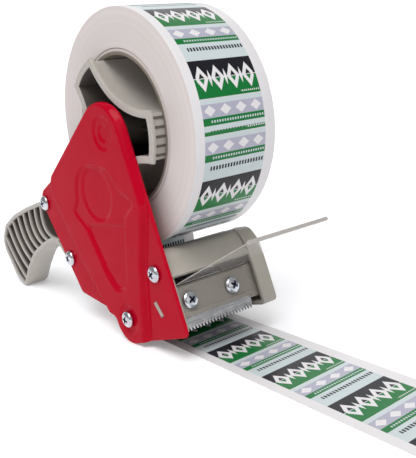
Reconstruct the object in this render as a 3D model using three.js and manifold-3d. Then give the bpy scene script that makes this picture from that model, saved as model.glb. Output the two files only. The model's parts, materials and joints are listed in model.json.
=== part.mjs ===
// Hand-held packing-tape dispenser with a pressed steel side plate, millimetres, +Z up.
// X runs forward along the laid tape, Y across the tape, and the floor is Z = 0 while the
// parts are drawn; the finished group is then moved so that its own base centre is the origin.
import * as THREE from "three";
import { mergeVertices } from "three/addons/utils/BufferGeometryUtils.js";
import Module from "manifold-3d";

const wasm = await Module();
wasm.setup();

// Driving dimensions
const gap = 0.3; // clearance between pieces that touch
const tapeWidth = 50;
const tapeThick = 0.4; // tape and flap film are drawn thicker than the real 0.05 mm
const rollRadius = 61;
const coreOuter = 40.6;
const coreInner = 37.5;
const axleX = 0;
const axleZ = 113;
const plateFace = -38; // outer face of the plate's raised field
const flangeFace = -35; // outer face of the plate's rim
const plateThick = 1.5;
const rampRun = 2.8; // sloped wall between field and rim
const rollerX = 6.4;
const rollerZ = 13.8;
const rollerRadius = 13.1;
const rollerHalf = 25; // half the length of the rubber sleeve
const hubNear = -33.2;
const hubFar = 22;
const hubWall = 2.2;
const lobeRadius = 37.1;
const wallFar = 28; // outer face of the front housing's end wall
const wallThick = 2;
const lipRadius = 1.6; // how far the hub's near edge stands out past its pads
const lipDepth = 2;
const gripFar = -15;
const gripRound = 4; // slope along the far edges of the grip
const tailLength = 318; // laid tape, from below the roller to its cut end

const half = tapeWidth / 2;
const through = 1; // how far a cutting solid runs past what it cuts
const backFace = flangeFace + plateThick + gap; // where pieces behind the rim start
const rad = Math.PI / 180;

// Materials
const paint = (name, color, roughness, metalness) =>
  new THREE.MeshStandardMaterial({ name, color, roughness, metalness });
const redPaint = () => paint("red_paint", 0xc0142c, 0.28, 0.1);
const greyPlastic = () => paint("grey_plastic", 0x9d978c, 0.5, 0);
const zinc = () => paint("zinc_steel", 0xc8ccd2, 0.3, 1);
const bladeSteel = () => paint("blade_steel", 0xd8dade, 0.22, 1);
const darkRubber = () => paint("rubber", 0x26282a, 0.8, 0);
const blackPlastic = () => paint("black_plastic", 0x1d1e20, 0.5, 0);
const clearFilm = () => paint("clear_film", 0xdedcd8, 0.2, 0);
const tapeFilm = () => paint("tape_film", 0xe9e6e2, 0.35, 0);
const cardboard = () => paint("cardboard", 0xb9a68c, 0.85, 0);
const fibre = () => paint("fibre", 0x5a3a2a, 0.8, 0);

// Solids
function toSolid(geometry) {
  const plain = geometry.index ? geometry.toNonIndexed() : geometry.clone();
  plain.deleteAttribute("normal");
  plain.deleteAttribute("uv");
  const merged = mergeVertices(plain, 1e-4);
  return new wasm.Manifold(
    new wasm.Mesh({
      numProp: 3,
      vertProperties: merged.attributes.position.array,
      triVerts: new Uint32Array(merged.index.array),
    }),
  );
}

function toGeometry(solid) {
  const mesh = solid.getMesh();
  const geometry = new THREE.BufferGeometry();
  const values = new Float32Array(mesh.vertProperties);
  geometry.setAttribute("position", new THREE.BufferAttribute(values, 3));
  geometry.setIndex(new THREE.BufferAttribute(new Uint32Array(mesh.triVerts), 1));
  geometry.computeVertexNormals();
  return geometry;
}

// An outline in the XZ plane, extruded across from yLow to yHigh.
function prism(points, yLow, yHigh) {
  const shape = new THREE.Shape(points.map(([x, z]) => new THREE.Vector2(x, z)));
  const geometry = new THREE.ExtrudeGeometry(shape, { depth: yHigh - yLow, bevelEnabled: false });
  geometry.rotateX(Math.PI / 2);
  geometry.translate(0, yHigh, 0);
  return toSolid(geometry);
}

// A cylinder across the object, centred on (x, z).
function rod(radius, yLow, yHigh, x, z, sides = 32) {
  const geometry = new THREE.CylinderGeometry(radius, radius, yHigh - yLow, sides);
  geometry.translate(x, (yLow + yHigh) / 2, z);
  return toSolid(geometry);
}

const tube = (outer, inner, yLow, yHigh, x, z, sides = 32) =>
  rod(outer, yLow, yHigh, x, z, sides).subtract(rod(inner, yLow - 1, yHigh + 1, x, z, sides));

// A solid between two outlines that have the same number of points.
function loft(pointsA, yA, pointsB, yB) {
  const flat = (points) => points.map(([x, z]) => new THREE.Vector2(x, z));
  const turn = THREE.ShapeUtils.isClockWise(flat(pointsA));
  const [a, b] = turn ? [[...pointsA].reverse(), [...pointsB].reverse()] : [pointsA, pointsB];
  const count = a.length;
  const position = [...a.map(([x, z]) => [x, yA, z]), ...b.map(([x, z]) => [x, yB, z])].flat();
  const index = [];
  for (const [i, j, k] of THREE.ShapeUtils.triangulateShape(flat(a), [])) {
    index.push(i, j, k);
  }
  for (const [i, j, k] of THREE.ShapeUtils.triangulateShape(flat(b), [])) {
    index.push(count + i, count + k, count + j);
  }
  for (let i = 0; i < count; i++) {
    const j = (i + 1) % count;
    index.push(i, count + j, j, i, count + i, count + j);
  }
  if (yB < yA) {
    for (let i = 0; i < index.length; i += 3) {
      [index[i + 1], index[i + 2]] = [index[i + 2], index[i + 1]];
    }
  }
  const geometry = new THREE.BufferGeometry();
  geometry.setAttribute("position", new THREE.Float32BufferAttribute(position, 3));
  geometry.setIndex(index);
  return toSolid(geometry);
}

// Corners given as [x, z, radius] become an outline with round corners.
function roundOutline(corners, step = 15) {
  const points = [];
  corners.forEach(([x, z, radius = 0], i) => {
    const corner = new THREE.Vector2(x, z);
    const [bx, bz] = corners[(i + corners.length - 1) % corners.length];
    const [ax, az] = corners[(i + 1) % corners.length];
    const back = new THREE.Vector2(bx, bz).sub(corner).normalize();
    const ahead = new THREE.Vector2(ax, az).sub(corner).normalize();
    const halfAngle = Math.acos(THREE.MathUtils.clamp(back.dot(ahead), -1, 1)) / 2;
    if (!radius || halfAngle > 89.5 * rad) {
      points.push([x, z]);
      return;
    }
    const start = corner.clone().addScaledVector(back, radius / Math.tan(halfAngle));
    const end = corner.clone().addScaledVector(ahead, radius / Math.tan(halfAngle));
    const middle = back.clone().add(ahead).normalize();
    const centre = corner.clone().addScaledVector(middle, radius / Math.sin(halfAngle));
    const from = start.sub(centre).angle();
    let sweep = end.sub(centre).angle() - from;
    if (sweep > Math.PI) sweep -= 2 * Math.PI;
    if (sweep < -Math.PI) sweep += 2 * Math.PI;
    const pieces = Math.max(1, Math.ceil(Math.abs(sweep) / (step * rad)));
    for (let k = 0; k <= pieces; k++) {
      const angle = from + (sweep * k) / pieces;
      points.push([centre.x + radius * Math.cos(angle), centre.y + radius * Math.sin(angle)]);
    }
  });
  return points;
}

// The outline moved outwards (or inwards, if distance is negative), point for point.
function offsetOutline(points, distance) {
  const side = THREE.ShapeUtils.isClockWise(points.map(([x, z]) => new THREE.Vector2(x, z))) ? -1 : 1;
  return points.map(([x, z], i) => {
    const [bx, bz] = points[(i + points.length - 1) % points.length];
    const [ax, az] = points[(i + 1) % points.length];
    const into = new THREE.Vector2(x - bx, z - bz).normalize();
    const out = new THREE.Vector2(ax - x, az - z).normalize();
    const normal = new THREE.Vector2(into.y + out.y, -into.x - out.x).normalize();
    const stretch = 1 / Math.max(0.5, normal.x * into.y - normal.y * into.x);
    return [
      x + side * distance * stretch * normal.x,
      z + side * distance * stretch * normal.y,
    ];
  });
}

const along = ([x, z], [dx, dz], distance) => [x + dx * distance, z + dz * distance];

// A closed ribbon of even thickness along a path, thick to the left of the way it runs.
function ribbon(path, thick) {
  const left = path.map(([x, z], i) => {
    const [bx, bz] = path[Math.max(0, i - 1)];
    const [ax, az] = path[Math.min(path.length - 1, i + 1)];
    const length = Math.hypot(ax - bx, az - bz);
    return [x - (thick * (az - bz)) / length, z + (thick * (ax - bx)) / length];
  });
  return [...path, ...left.reverse()];
}

const dispenser = new THREE.Group();

function addPart(name, solid, material) {
  const mesh = new THREE.Mesh(toGeometry(solid), material);
  mesh.name = name;
  dispenser.add(mesh);
  return mesh;
}

// Screws: a domed cross-recess head that faces -Y, and a plain shank
const headRadius = 4.5;
const headHeight = 2.6;
const shankRadius = 2;
const screwHole = shankRadius + gap;

function panScrew(shankLength) {
  const crown = headHeight * 0.45;
  const profile = [
    new THREE.Vector2(0, -shankLength),
    new THREE.Vector2(shankRadius, -shankLength),
    new THREE.Vector2(shankRadius, 0),
    new THREE.Vector2(headRadius, 0),
    new THREE.Vector2(headRadius, crown),
    new THREE.Vector2(headRadius * 0.86, headHeight * 0.8),
    new THREE.Vector2(headRadius * 0.5, headHeight),
    new THREE.Vector2(0, headHeight),
  ];
  let screw = toSolid(new THREE.LatheGeometry(profile, 20));
  for (const size of [
    [1, 4.6],
    [4.6, 1],
  ]) {
    const slot = new THREE.BoxGeometry(size[0], 2.4, size[1]);
    slot.translate(0, headHeight, 0);
    screw = screw.subtract(toSolid(slot));
  }
  return screw;
}

// Places a screw with its seat at (x, y, z) and its head pointing along the unit vector.
function addScrew(name, shankLength, seat, direction) {
  const mesh = addPart(name, panScrew(shankLength), zinc());
  const up = new THREE.Vector3(0, 1, 0);
  mesh.quaternion.setFromUnitVectors(up, new THREE.Vector3(...direction));
  mesh.position.set(...seat);
}

// Side plate: a rim, and a raised field that clears the roll
const frontTop = [7.9, 141.1]; // where the straight front edge would meet the straight top edge
const frontFoot = [54.5, 15.2];
const plateOutline = roundOutline([
  [...frontTop, 20.5],
  [...frontFoot, 3.5],
  [-2.2, -3.6, rollerZ],
  [-7.4, 11.5, 4],
  [-48.8, 15.5, 5],
  [-90, 70, 8],
  [-66, 83.4, 20],
]);
const fieldTop = roundOutline([
  [5.5, 138.2, 18],
  [27.6, 78, 16],
  [21, 45, 30],
  [17, -9, 0],
  [-4, -12, 0],
  [-12, 11, 8],
  [-32, 32, 20],
  [-67.5, 76.1, 6],
  [-63.4, 84.4, 8],
]);
const upperScrew = [-81.1, 66];
const lowerScrew = [-56.9, 35.4];
const frontScrew = [31.4, 43.4];
const slotTop = [29, 27.8];
const slotEnd = [34.6, 21.4];

function slotOutline(grow) {
  const run = new THREE.Vector2(slotEnd[0] - slotTop[0], slotEnd[1] - slotTop[1]).normalize();
  const side = [-run.y * (0.9 + grow), run.x * (0.9 + grow)];
  const top = along(slotTop, [run.x, run.y], -grow);
  const end = along(slotEnd, [run.x, run.y], grow);
  return [along(top, side, 1), along(end, side, 1), along(end, side, -1), along(top, side, -1)];
}

function sidePlate() {
  const rimInner = flangeFace + plateThick;
  const foot = offsetOutline(fieldTop, rampRun);
  const inner = offsetOutline(fieldTop, -0.5);
  const innerFoot = offsetOutline(foot, -0.5);
  const cover = prism(plateOutline, plateFace - 1, rimInner + 1);
  let plate = prism(plateOutline, flangeFace, rimInner);
  plate = plate.add(loft(foot, flangeFace, fieldTop, plateFace).intersect(cover));
  plate = plate.subtract(loft(innerFoot, rimInner + 0.01, inner, plateFace + plateThick));
  for (const [x, z] of [upperScrew, lowerScrew, frontScrew, [rollerX, rollerZ]]) {
    plate = plate.subtract(rod(screwHole, plateFace - 1, rimInner + 1, x, z, 16));
  }
  return plate.subtract(prism(slotOutline(gap), plateFace - 1, rimInner + 1));
}

addPart("frame_plate", sidePlate(), redPaint());

// Pistol grip: one moulding with deep curved pockets open towards the plate side
const gripOutline = roundOutline([
  [-88, 66.8, 0],
  [-116, 58.4, 40],
  [-138, 50.4, 30],
  [-155.5, 40.5, 14],
  [-162.8, 29, 10],
  [-161, 21.5, 12],
  [-148, 5, 12],
  [-135.5, -1.2, 5],
  [-125.6, 12.4, 30],
  [-113, 26, 24],
  [-96, 35.6, 60],
  [-79, 42.8, 12],
  [-66, 31.5, 6],
  [-55, 24.6, 6],
  [-46.5, 32, 8],
  [-52, 45, 20],
  [-66, 62, 20],
  [-77.5, 73.4, 6],
]);
const ribCount = 8;
const ribThick = 1.6;
const pocketFloor = -20;
const bossRadiusGrip = 5.4;

// Centre line of rib number t, from 0 at the plate end to 1 at the tip end.
function ribLine(t) {
  const start = new THREE.Vector2(
    THREE.MathUtils.lerp(-95.3, -159.5, t),
    61.1 - 20 * t - 8 * t * t,
  );
  const end = new THREE.Vector2(
    THREE.MathUtils.lerp(-79.3, -137.5, t),
    43 - 24 * t - 10 * t * t,
  );
  const bow = THREE.MathUtils.lerp(7, 1.5, t);
  const across = end.clone().sub(start);
  const side = new THREE.Vector2(across.y, -across.x).normalize();
  return [-0.15, 0.1, 0.3, 0.5, 0.7, 0.9, 1.15].map((k) => {
    const p = start.clone().addScaledVector(across, k);
    return p.addScaledVector(side, bow * 4 * k * (1 - k)).toArray();
  });
}

function grip() {
  const ribs = [];
  for (let i = -1; i <= ribCount; i++) {
    ribs.push(ribLine(i / (ribCount - 1)));
  }
  const wall = 2.6;
  const openArea = prism(offsetOutline(gripOutline, -wall), backFace - 1, pocketFloor);
  let body = prism(gripOutline, backFace, gripFar - gripRound);
  const narrow = offsetOutline(gripOutline, -gripRound / 2);
  body = body.add(loft(gripOutline, gripFar - gripRound - 0.01, narrow, gripFar));
  for (let i = 0; i < ribs.length - 1; i++) {
    const pocket = [...ribs[i], ...[...ribs[i + 1]].reverse()];
    const cut = prism(offsetOutline(pocket, -ribThick / 2), backFace - 1, pocketFloor);
    body = body.subtract(cut.intersect(openArea));
  }
  for (const [x, z] of [upperScrew, lowerScrew]) {
    body = body.add(rod(bossRadiusGrip, backFace, pocketFloor + through, x, z, 20));
    body = body.subtract(rod(screwHole, backFace - through, backFace + 12.5, x, z, 16));
  }
  return body;
}

addPart("handle_grip", grip(), greyPlastic());
addScrew("handle_screw_upper", 12, [upperScrew[0], flangeFace - gap, upperScrew[1]], [0, -1, 0]);
addScrew("handle_screw_lower", 12, [lowerScrew[0], flangeFace - gap, lowerScrew[1]], [0, -1, 0]);

// Front housing. Its front plane is parallel to the plate's front edge.
const frontDirection = new THREE.Vector2(frontTop[0] - frontFoot[0], frontTop[1] - frontFoot[1])
  .normalize()
  .toArray();
const frontNormal = [frontDirection[1], -frontDirection[0]];
// A point set back from the front edge line, and up along it.
const onFront = (setBack, up) =>
  along(along(frontFoot, frontDirection, up), frontNormal, -setBack);
const clampFace = 3.6;
const clampThick = 1.2;
const bladeThick = 0.8;
const bladeFace = clampFace + clampThick + gap;
const shelfFace = bladeFace + bladeThick + gap;
const shelfThick = 2.4;
const clampLow = 9.3;
const clampHigh = 24.6;
const coverBack = [13, 45.4];
const coverRise = [20, 51.6];
const coverCrest = [33, 54.6];
const coverLip = [42.6, 43.4];
const coverPath = roundOutline([
  [...coverBack, 0],
  [...coverRise, 12],
  [...coverCrest, 7],
  onFront(4, 36),
  [...coverLip, 0],
]);
const rimFrom = 18.5; // where the thicker end cap of the cover starts

function frontHousing() {
  const skin = ribbon([...coverPath].reverse(), wallThick);
  const nearWall = roundOutline([
    [25.8, 53, 0],
    [...coverCrest, 7],
    onFront(3, 36),
    onFront(2.2, 27),
    onFront(2.2, 3.4),
    [40, 13.4, 3],
    [27, 20, 4],
    [22.5, 40, 6],
  ]);
  const farWall = roundOutline([
    [...coverBack, 2],
    [...coverRise, 12],
    [...coverCrest, 7],
    onFront(2, 36),
    onFront(1.4, 27),
    [...onFront(1.4, 1.6), 3],
    [24, 8.6, 10],
    [6, 2.6, 9],
    [-5.5, 9, 9],
    [0, 26, 14],
  ]);
  const shelf = [
    onFront(shelfFace, 7.4),
    onFront(shelfFace, 25.2),
    onFront(shelfFace + shelfThick, 25.2),
    onFront(shelfFace + shelfThick, 7.4),
  ];
  let body = prism(skin, backFace, wallFar - through);
  body = body.add(prism(nearWall, backFace, backFace + wallThick));
  body = body.add(prism(farWall, wallFar - wallThick, wallFar));
  const rim = prism(farWall, rimFrom, wallFar - 1).subtract(
    prism(offsetOutline(farWall, -wallThick), rimFrom - 1, wallFar),
  );
  const frontHalf = prism([[24, 0], [70, 0], [70, 70], [24, 70]], rimFrom - 1, wallFar);
  body = body.add(rim.intersect(frontHalf));
  body = body.add(prism(shelf, backFace + 1, wallFar - 1));
  body = body.add(rod(5.2, backFace, -22, ...frontScrew, 24));
  body = body.subtract(rod(screwHole, backFace - 1, -24, ...frontScrew, 16));
  body = body.add(prism(slotOutline(0), plateFace + 2.4, backFace + 1));
  body = body.add(rod(7.5, wallFar - 1, wallFar, rollerX, rollerZ, 28));
  return body.subtract(rod(4.3, rimFrom, wallFar + 1, rollerX, rollerZ, 24));
}

const clampScrewUp = 17.2;
const clampScrewAt = [-25.4, 2.3];
const blockEnd = 15; // far end of the blade and its clamp
const toWorld = ([x, z], y) => [x, y, z];

// Holes through clamp, blade and shelf for the two clamp screws.
function clampHoles() {
  return clampScrewAt.map((y) => {
    const hole = new THREE.CylinderGeometry(screwHole, screwHole, 24, 16);
    const mesh = new THREE.Mesh(hole);
    const normal = new THREE.Vector3(frontNormal[0], 0, frontNormal[1]);
    mesh.quaternion.setFromUnitVectors(new THREE.Vector3(0, 1, 0), normal);
    mesh.position.set(...toWorld(onFront(clampFace, clampScrewUp), y));
    mesh.updateMatrixWorld();
    return toSolid(hole.clone().applyMatrix4(mesh.matrixWorld));
  });
}

const holes = clampHoles();
const drilled = (solid) => holes.reduce((body, hole) => body.subtract(hole), solid);

addPart("front_housing", drilled(frontHousing()), greyPlastic());
addScrew("housing_screw", 9, [frontScrew[0], flangeFace - gap, frontScrew[1]], [0, -1, 0]);

// Clamp plate with turned-back lips, and the saw-tooth blade under it
const clampFrom = backFace + wallThick + 0.4;
function bladeClamp() {
  const section = [
    onFront(clampFace, clampLow),
    onFront(clampFace, clampHigh),
    onFront(clampFace + clampThick, clampHigh),
    onFront(clampFace + clampThick, clampLow),
  ];
  return drilled(prism(section, clampFrom, blockEnd));
}

const toothPitch = 2;
const toothDepth = 2.6;
const bladeTip = 2.4; // tips of the teeth, measured up the front line
function cuttingBlade() {
  const length = blockEnd - clampFrom;
  const teeth = Math.floor(length / toothPitch);
  const shape = new THREE.Shape();
  shape.moveTo(0, 20);
  for (let i = 0; i <= teeth; i++) {
    shape.lineTo(i * toothPitch, bladeTip + toothDepth);
    if (i < teeth) shape.lineTo((i + 0.5) * toothPitch, bladeTip);
  }
  shape.lineTo(teeth * toothPitch, 20);
  const geometry = new THREE.ExtrudeGeometry(shape, { depth: bladeThick, bevelEnabled: false });
  const [ox, oz] = onFront(bladeFace + bladeThick, 0);
  // shape x runs along Y, shape y up the front line, depth outwards along the front normal
  const basis = new THREE.Matrix4().makeBasis(
    new THREE.Vector3(0, 1, 0),
    new THREE.Vector3(frontDirection[0], 0, frontDirection[1]),
    new THREE.Vector3(frontNormal[0], 0, frontNormal[1]),
  );
  basis.setPosition(ox, clampFrom, oz);
  geometry.applyMatrix4(basis);
  return drilled(toSolid(geometry));
}

addPart("blade_clamp", bladeClamp(), greyPlastic());
addPart("cutting_blade", cuttingBlade(), bladeSteel());
const outOfFront = [frontNormal[0], 0, frontNormal[1]];
["clamp_screw_near", "clamp_screw_far"].forEach((name, i) => {
  const seat = toWorld(onFront(clampFace - gap, clampScrewUp), clampScrewAt[i]);
  addScrew(name, 8, seat, outOfFront);
});

// Clear flap with a bead along its free edge; it stands out over the blade and holds the tape end
const flapRoot = [40.2, 37.3];
const flapRise = 29 * rad;
const flapLength = 68;
const flapFrom = -30.4;
const flapTo = rimFrom - 0.8;
const flapThick = 0.5;
const beadLength = 2.6;
const beadOut = 0.7;
function clearFlap() {
  const way = [Math.cos(flapRise), Math.sin(flapRise)];
  const side = [-way[1], way[0]];
  const high = flapThick + beadOut;
  const outline = [
    [0, 0],
    [flapLength - beadLength, 0],
    [flapLength - beadLength * 0.8, -beadOut * 0.8],
    [flapLength - beadLength * 0.2, -beadOut],
    [flapLength, -beadOut * 0.2],
    [flapLength, high - beadOut * 0.8],
    [flapLength - beadLength * 0.2, high],
    [flapLength - beadLength * 0.8, high - beadOut * 0.2],
    [flapLength - beadLength, flapThick],
    [0, flapThick],
  ].map(([reach, rise]) => along(along(flapRoot, way, reach), side, rise));
  return prism(outline, flapFrom, flapTo);
}

addPart("tape_flap", clearFlap(), clearFilm());

// Applicator roller: rubber sleeve on a plastic tube, turning on a fixed shaft
const shaftRadius = 4;
const tubeRadius = 9;
addPart(
  "roller_sleeve",
  tube(rollerRadius, tubeRadius + gap, -rollerHalf, rollerHalf, rollerX, rollerZ, 40),
  darkRubber(),
);
const tubeBody = rod(tubeRadius, -rollerHalf - 0.4, rollerHalf + 0.4, rollerX, rollerZ, 32);
addPart(
  "roller_tube",
  tubeBody.subtract(rod(shaftRadius + gap, -60, 60, rollerX, rollerZ, 32)),
  blackPlastic(),
);
function rollerShaft() {
  const from = plateFace + plateThick + gap;
  let shaft = rod(shaftRadius, from, wallFar + 2.6, rollerX, rollerZ, 24);
  shaft = shaft.add(rod(7, from, -rollerHalf - 1.2, rollerX, rollerZ, 24));
  return shaft.subtract(rod(screwHole, from - 1, from + 11, rollerX, rollerZ, 16));
}
addPart("roller_shaft", rollerShaft(), zinc());
addPart(
  "roller_clip",
  tube(7.4, shaftRadius + gap, wallFar + gap, wallFar + 1.5, rollerX, rollerZ, 24),
  zinc(),
);
addScrew("roller_screw", 10, [rollerX, plateFace - gap, rollerZ], [0, -1, 0]);

// Hub axle, riveted behind the plate
const axleRadius = 6;
const studRadius = 4;
const studEnd = 39.6;
const bossRadius = 9.5;
const flangeEnd = hubNear - gap;
function hubAxle() {
  const from = plateFace + plateThick + gap;
  let axle = rod(11, from, flangeEnd, axleX, axleZ, 28);
  axle = axle.add(rod(axleRadius, from, hubFar + 2.4, axleX, axleZ, 28));
  return axle.add(rod(studRadius, from, studEnd, axleX, axleZ, 24));
}
addPart("hub_axle", hubAxle(), zinc());

// Hub: three round pads joined by hollow sides, one web and a boss round the axle
const pads = [
  [-20, 15],
  [109, 142],
  [224, 258],
];
const sideBow = 7.4;

function hubOutline(inset) {
  const radius = lobeRadius - inset;
  const points = [];
  pads.forEach(([from, to], i) => {
    for (let k = 0; k <= 6; k++) {
      const angle = (from + ((to - from) * k) / 6) * rad;
      points.push([axleX + radius * Math.cos(angle), axleZ + radius * Math.sin(angle)]);
    }
    const next = (pads[(i + 1) % pads.length][0] + (i === pads.length - 1 ? 360 : 0)) * rad;
    const a = points[points.length - 1];
    const b = [axleX + radius * Math.cos(next), axleZ + radius * Math.sin(next)];
    const middle = Math.atan2((a[1] + b[1]) / 2 - axleZ, (a[0] + b[0]) / 2 - axleX);
    for (let k = 1; k < 8; k++) {
      const t = k / 8;
      const bow = sideBow * 4 * t * (1 - t);
      points.push([
        a[0] + (b[0] - a[0]) * t - bow * Math.cos(middle),
        a[1] + (b[1] - a[1]) * t - bow * Math.sin(middle),
      ]);
    }
  });
  return points;
}

const webFrom = 2;
const webThick = 2.4;
function hubShell() {
  const outline = hubOutline(0);
  const hollow = offsetOutline(outline, -hubWall);
  let hub = prism(outline, hubNear, hubFar);
  hub = hub.add(prism(offsetOutline(outline, lipRadius), hubNear, hubNear + lipDepth));
  hub = hub.subtract(prism(hollow, hubNear - 1, webFrom));
  hub = hub.subtract(prism(hollow, webFrom + webThick, hubFar + 1));
  hub = hub.add(rod(bossRadius, hubNear, hubFar + 2, axleX, axleZ, 32));
  return hub.subtract(rod(axleRadius + gap, hubNear - 1, hubFar + 3, axleX, axleZ, 32));
}
addPart("hub_shell", hubShell(), greyPlastic());

// Tape: cardboard core, wound roll, free web down to the roller, and the laid strip
addPart("tape_core", tube(coreOuter, coreInner, -half, half, axleX, axleZ, 56), cardboard());
addPart("tape_roll", tube(rollRadius, coreOuter + gap, -half, half, axleX, axleZ, 72), tapeFilm());

const wrapRadius = rollerRadius + gap;
function webPath() {
  const peel = -104 * rad;
  const start = [
    axleX + (rollRadius + gap) * Math.cos(peel),
    axleZ + (rollRadius + gap) * Math.sin(peel),
  ];
  const free = new THREE.CubicBezierCurve(
    new THREE.Vector2(...start),
    new THREE.Vector2(-14.6, 42),
    new THREE.Vector2(rollerX - wrapRadius - 8, 30),
    new THREE.Vector2(rollerX - wrapRadius, rollerZ),
  );
  const path = free.getPoints(10).map((p) => p.toArray());
  for (let k = 1; k <= 8; k++) {
    const angle = Math.PI + (k / 8) * (Math.PI / 2);
    path.push([rollerX + wrapRadius * Math.cos(angle), rollerZ + wrapRadius * Math.sin(angle)]);
  }
  return path;
}
addPart("tape_web", prism(ribbon(webPath().reverse(), tapeThick), -half, half), tapeFilm());

function laidStrip() {
  const from = rollerX + gap;
  const to = rollerX + tailLength;
  const teeth = 20;
  const shape = new THREE.Shape();
  shape.moveTo(from, -half);
  for (let i = 0; i < teeth; i++) {
    shape.lineTo(to, -half + (i * tapeWidth) / teeth);
    shape.lineTo(to + 1.6, -half + ((i + 0.5) * tapeWidth) / teeth);
  }
  shape.lineTo(to, half);
  shape.lineTo(from, half);
  const geometry = new THREE.ExtrudeGeometry(shape, { depth: tapeThick, bevelEnabled: false });
  return toSolid(geometry);
}
addPart("tape_strip", laidStrip(), tapeFilm());

// Brake on the axle's free end: friction washer, spring, cup and knob
const brakeFrom = hubFar + 2 + gap;
const washerEnd = brakeFrom + 1.4;
const springEnd = washerEnd + 6.4;
const cupEnd = springEnd + gap + 1;
const knobEnd = cupEnd + gap + 8;
addPart(
  "brake_washer",
  tube(12, studRadius + gap + 2.4, brakeFrom, washerEnd, axleX, axleZ, 32),
  fibre(),
);

// Coil spring as a swept round wire, one closed body.
class SpringPath extends THREE.Curve {
  getPoint(t) {
    const turns = 3;
    const wire = 0.7;
    const low = washerEnd + gap + wire;
    const high = springEnd - wire;
    const angle = turns * 2 * Math.PI * t;
    const radius = 7.6;
    return new THREE.Vector3(
      axleX + radius * Math.cos(angle),
      low + (high - low) * t,
      axleZ + radius * Math.sin(angle),
    );
  }
}
function brakeSpring() {
  const wire = new THREE.Shape();
  for (let k = 0; k < 6; k++) {
    const angle = (k * Math.PI) / 3;
    const point = [0.7 * Math.cos(angle), 0.7 * Math.sin(angle)];
    if (k === 0) wire.moveTo(...point);
    else wire.lineTo(...point);
  }
  const options = { steps: 60, bevelEnabled: false, extrudePath: new SpringPath() };
  return toSolid(new THREE.ExtrudeGeometry(wire, options));
}
addPart("brake_spring", brakeSpring(), zinc());
addPart(
  "spring_cup",
  tube(10.5, studRadius + gap, springEnd + gap, cupEnd, axleX, axleZ, 28),
  zinc(),
);
function brakeKnob() {
  const points = [];
  const flutes = 12;
  for (let i = 0; i < flutes * 4; i++) {
    const angle = (i / (flutes * 4)) * 2 * Math.PI;
    const radius = 14 + 0.8 * Math.cos(flutes * angle);
    points.push([axleX + radius * Math.cos(angle), axleZ + radius * Math.sin(angle)]);
  }
  const knob = prism(points, cupEnd + gap, knobEnd);
  return knob.subtract(rod(studRadius + gap, 0, knobEnd - 1.6, axleX, axleZ, 24));
}
addPart("brake_knob", brakeKnob(), blackPlastic());

// Move the whole group so that the base centre of its box is the origin
dispenser.updateMatrixWorld(true);
const extent = new THREE.Box3().setFromObject(dispenser, true);
const middle = extent.getCenter(new THREE.Vector3());
dispenser.position.set(-middle.x, -middle.y, -extent.min.z);

export default dispenser;
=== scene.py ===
# Packing-tape dispenser: every visible piece, drawn round the fixed frame.
# Pieces are drawn in millimetres from the hub axle: X forward, Y across from the middle of the
# tape, Z up from the floor. place() turns that into the frame's metres.
import json
import math

import bmesh
import bpy
import numpy as np
from mathutils import Matrix, Vector
from mathutils.geometry import delaunay_2d_cdt


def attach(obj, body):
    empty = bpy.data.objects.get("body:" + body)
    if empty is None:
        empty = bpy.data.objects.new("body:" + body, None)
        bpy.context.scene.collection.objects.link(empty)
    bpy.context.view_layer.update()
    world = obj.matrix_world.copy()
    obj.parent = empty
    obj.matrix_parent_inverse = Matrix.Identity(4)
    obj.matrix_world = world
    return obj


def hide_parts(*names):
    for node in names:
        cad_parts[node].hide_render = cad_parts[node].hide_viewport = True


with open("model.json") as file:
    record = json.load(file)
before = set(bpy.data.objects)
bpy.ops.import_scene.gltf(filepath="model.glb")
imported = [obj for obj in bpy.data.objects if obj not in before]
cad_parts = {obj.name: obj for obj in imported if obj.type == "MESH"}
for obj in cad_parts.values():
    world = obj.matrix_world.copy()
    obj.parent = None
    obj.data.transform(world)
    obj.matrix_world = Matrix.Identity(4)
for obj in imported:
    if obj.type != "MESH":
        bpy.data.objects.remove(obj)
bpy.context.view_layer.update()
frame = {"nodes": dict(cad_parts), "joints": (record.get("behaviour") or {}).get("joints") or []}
joints = {joint["name"]: joint for joint in frame["joints"]}
axleSpot = Vector(joints["hub_spin"]["pos_m"])
rollerSpot = Vector(joints["roller_spin"]["pos_m"])
base = Vector((axleSpot.x, axleSpot.y, 0))
axleZ = axleSpot.z * 1000
rollerX = (rollerSpot.x - axleSpot.x) * 1000
rollerZ = rollerSpot.z * 1000
mm = 0.001
rad = math.pi / 180
print("frame loaded:", len(frame["nodes"]), "nodes")


def place(x, y, z):
    return base + Vector((x, y, z)) * mm


# sizes that several pieces share
size = {
    "plateFace": -38, "flangeFace": -35, "plateThick": 1.5, "rampRun": 2.8,
    "backFace": -33.2, "wallFar": 28, "wallThick": 2, "rimFrom": 18.5,
    "tapeHalf": 25, "rollRadius": 61, "coreOuter": 40.6, "coreInner": 37.5,
    "rollerRadius": 13.1, "hubNear": -33.2, "hubFar": 22,
}
frontTop = (7.9, 141.1)
frontFoot = (54.5, 15.2)
screwSpots = {
    "handleUpper": (-81.1, 66), "handleLower": (-56.9, 35.4),
    "housing": (31.4, 43.4), "roller": (rollerX, rollerZ),
}


# outlines in the XZ plane

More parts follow.
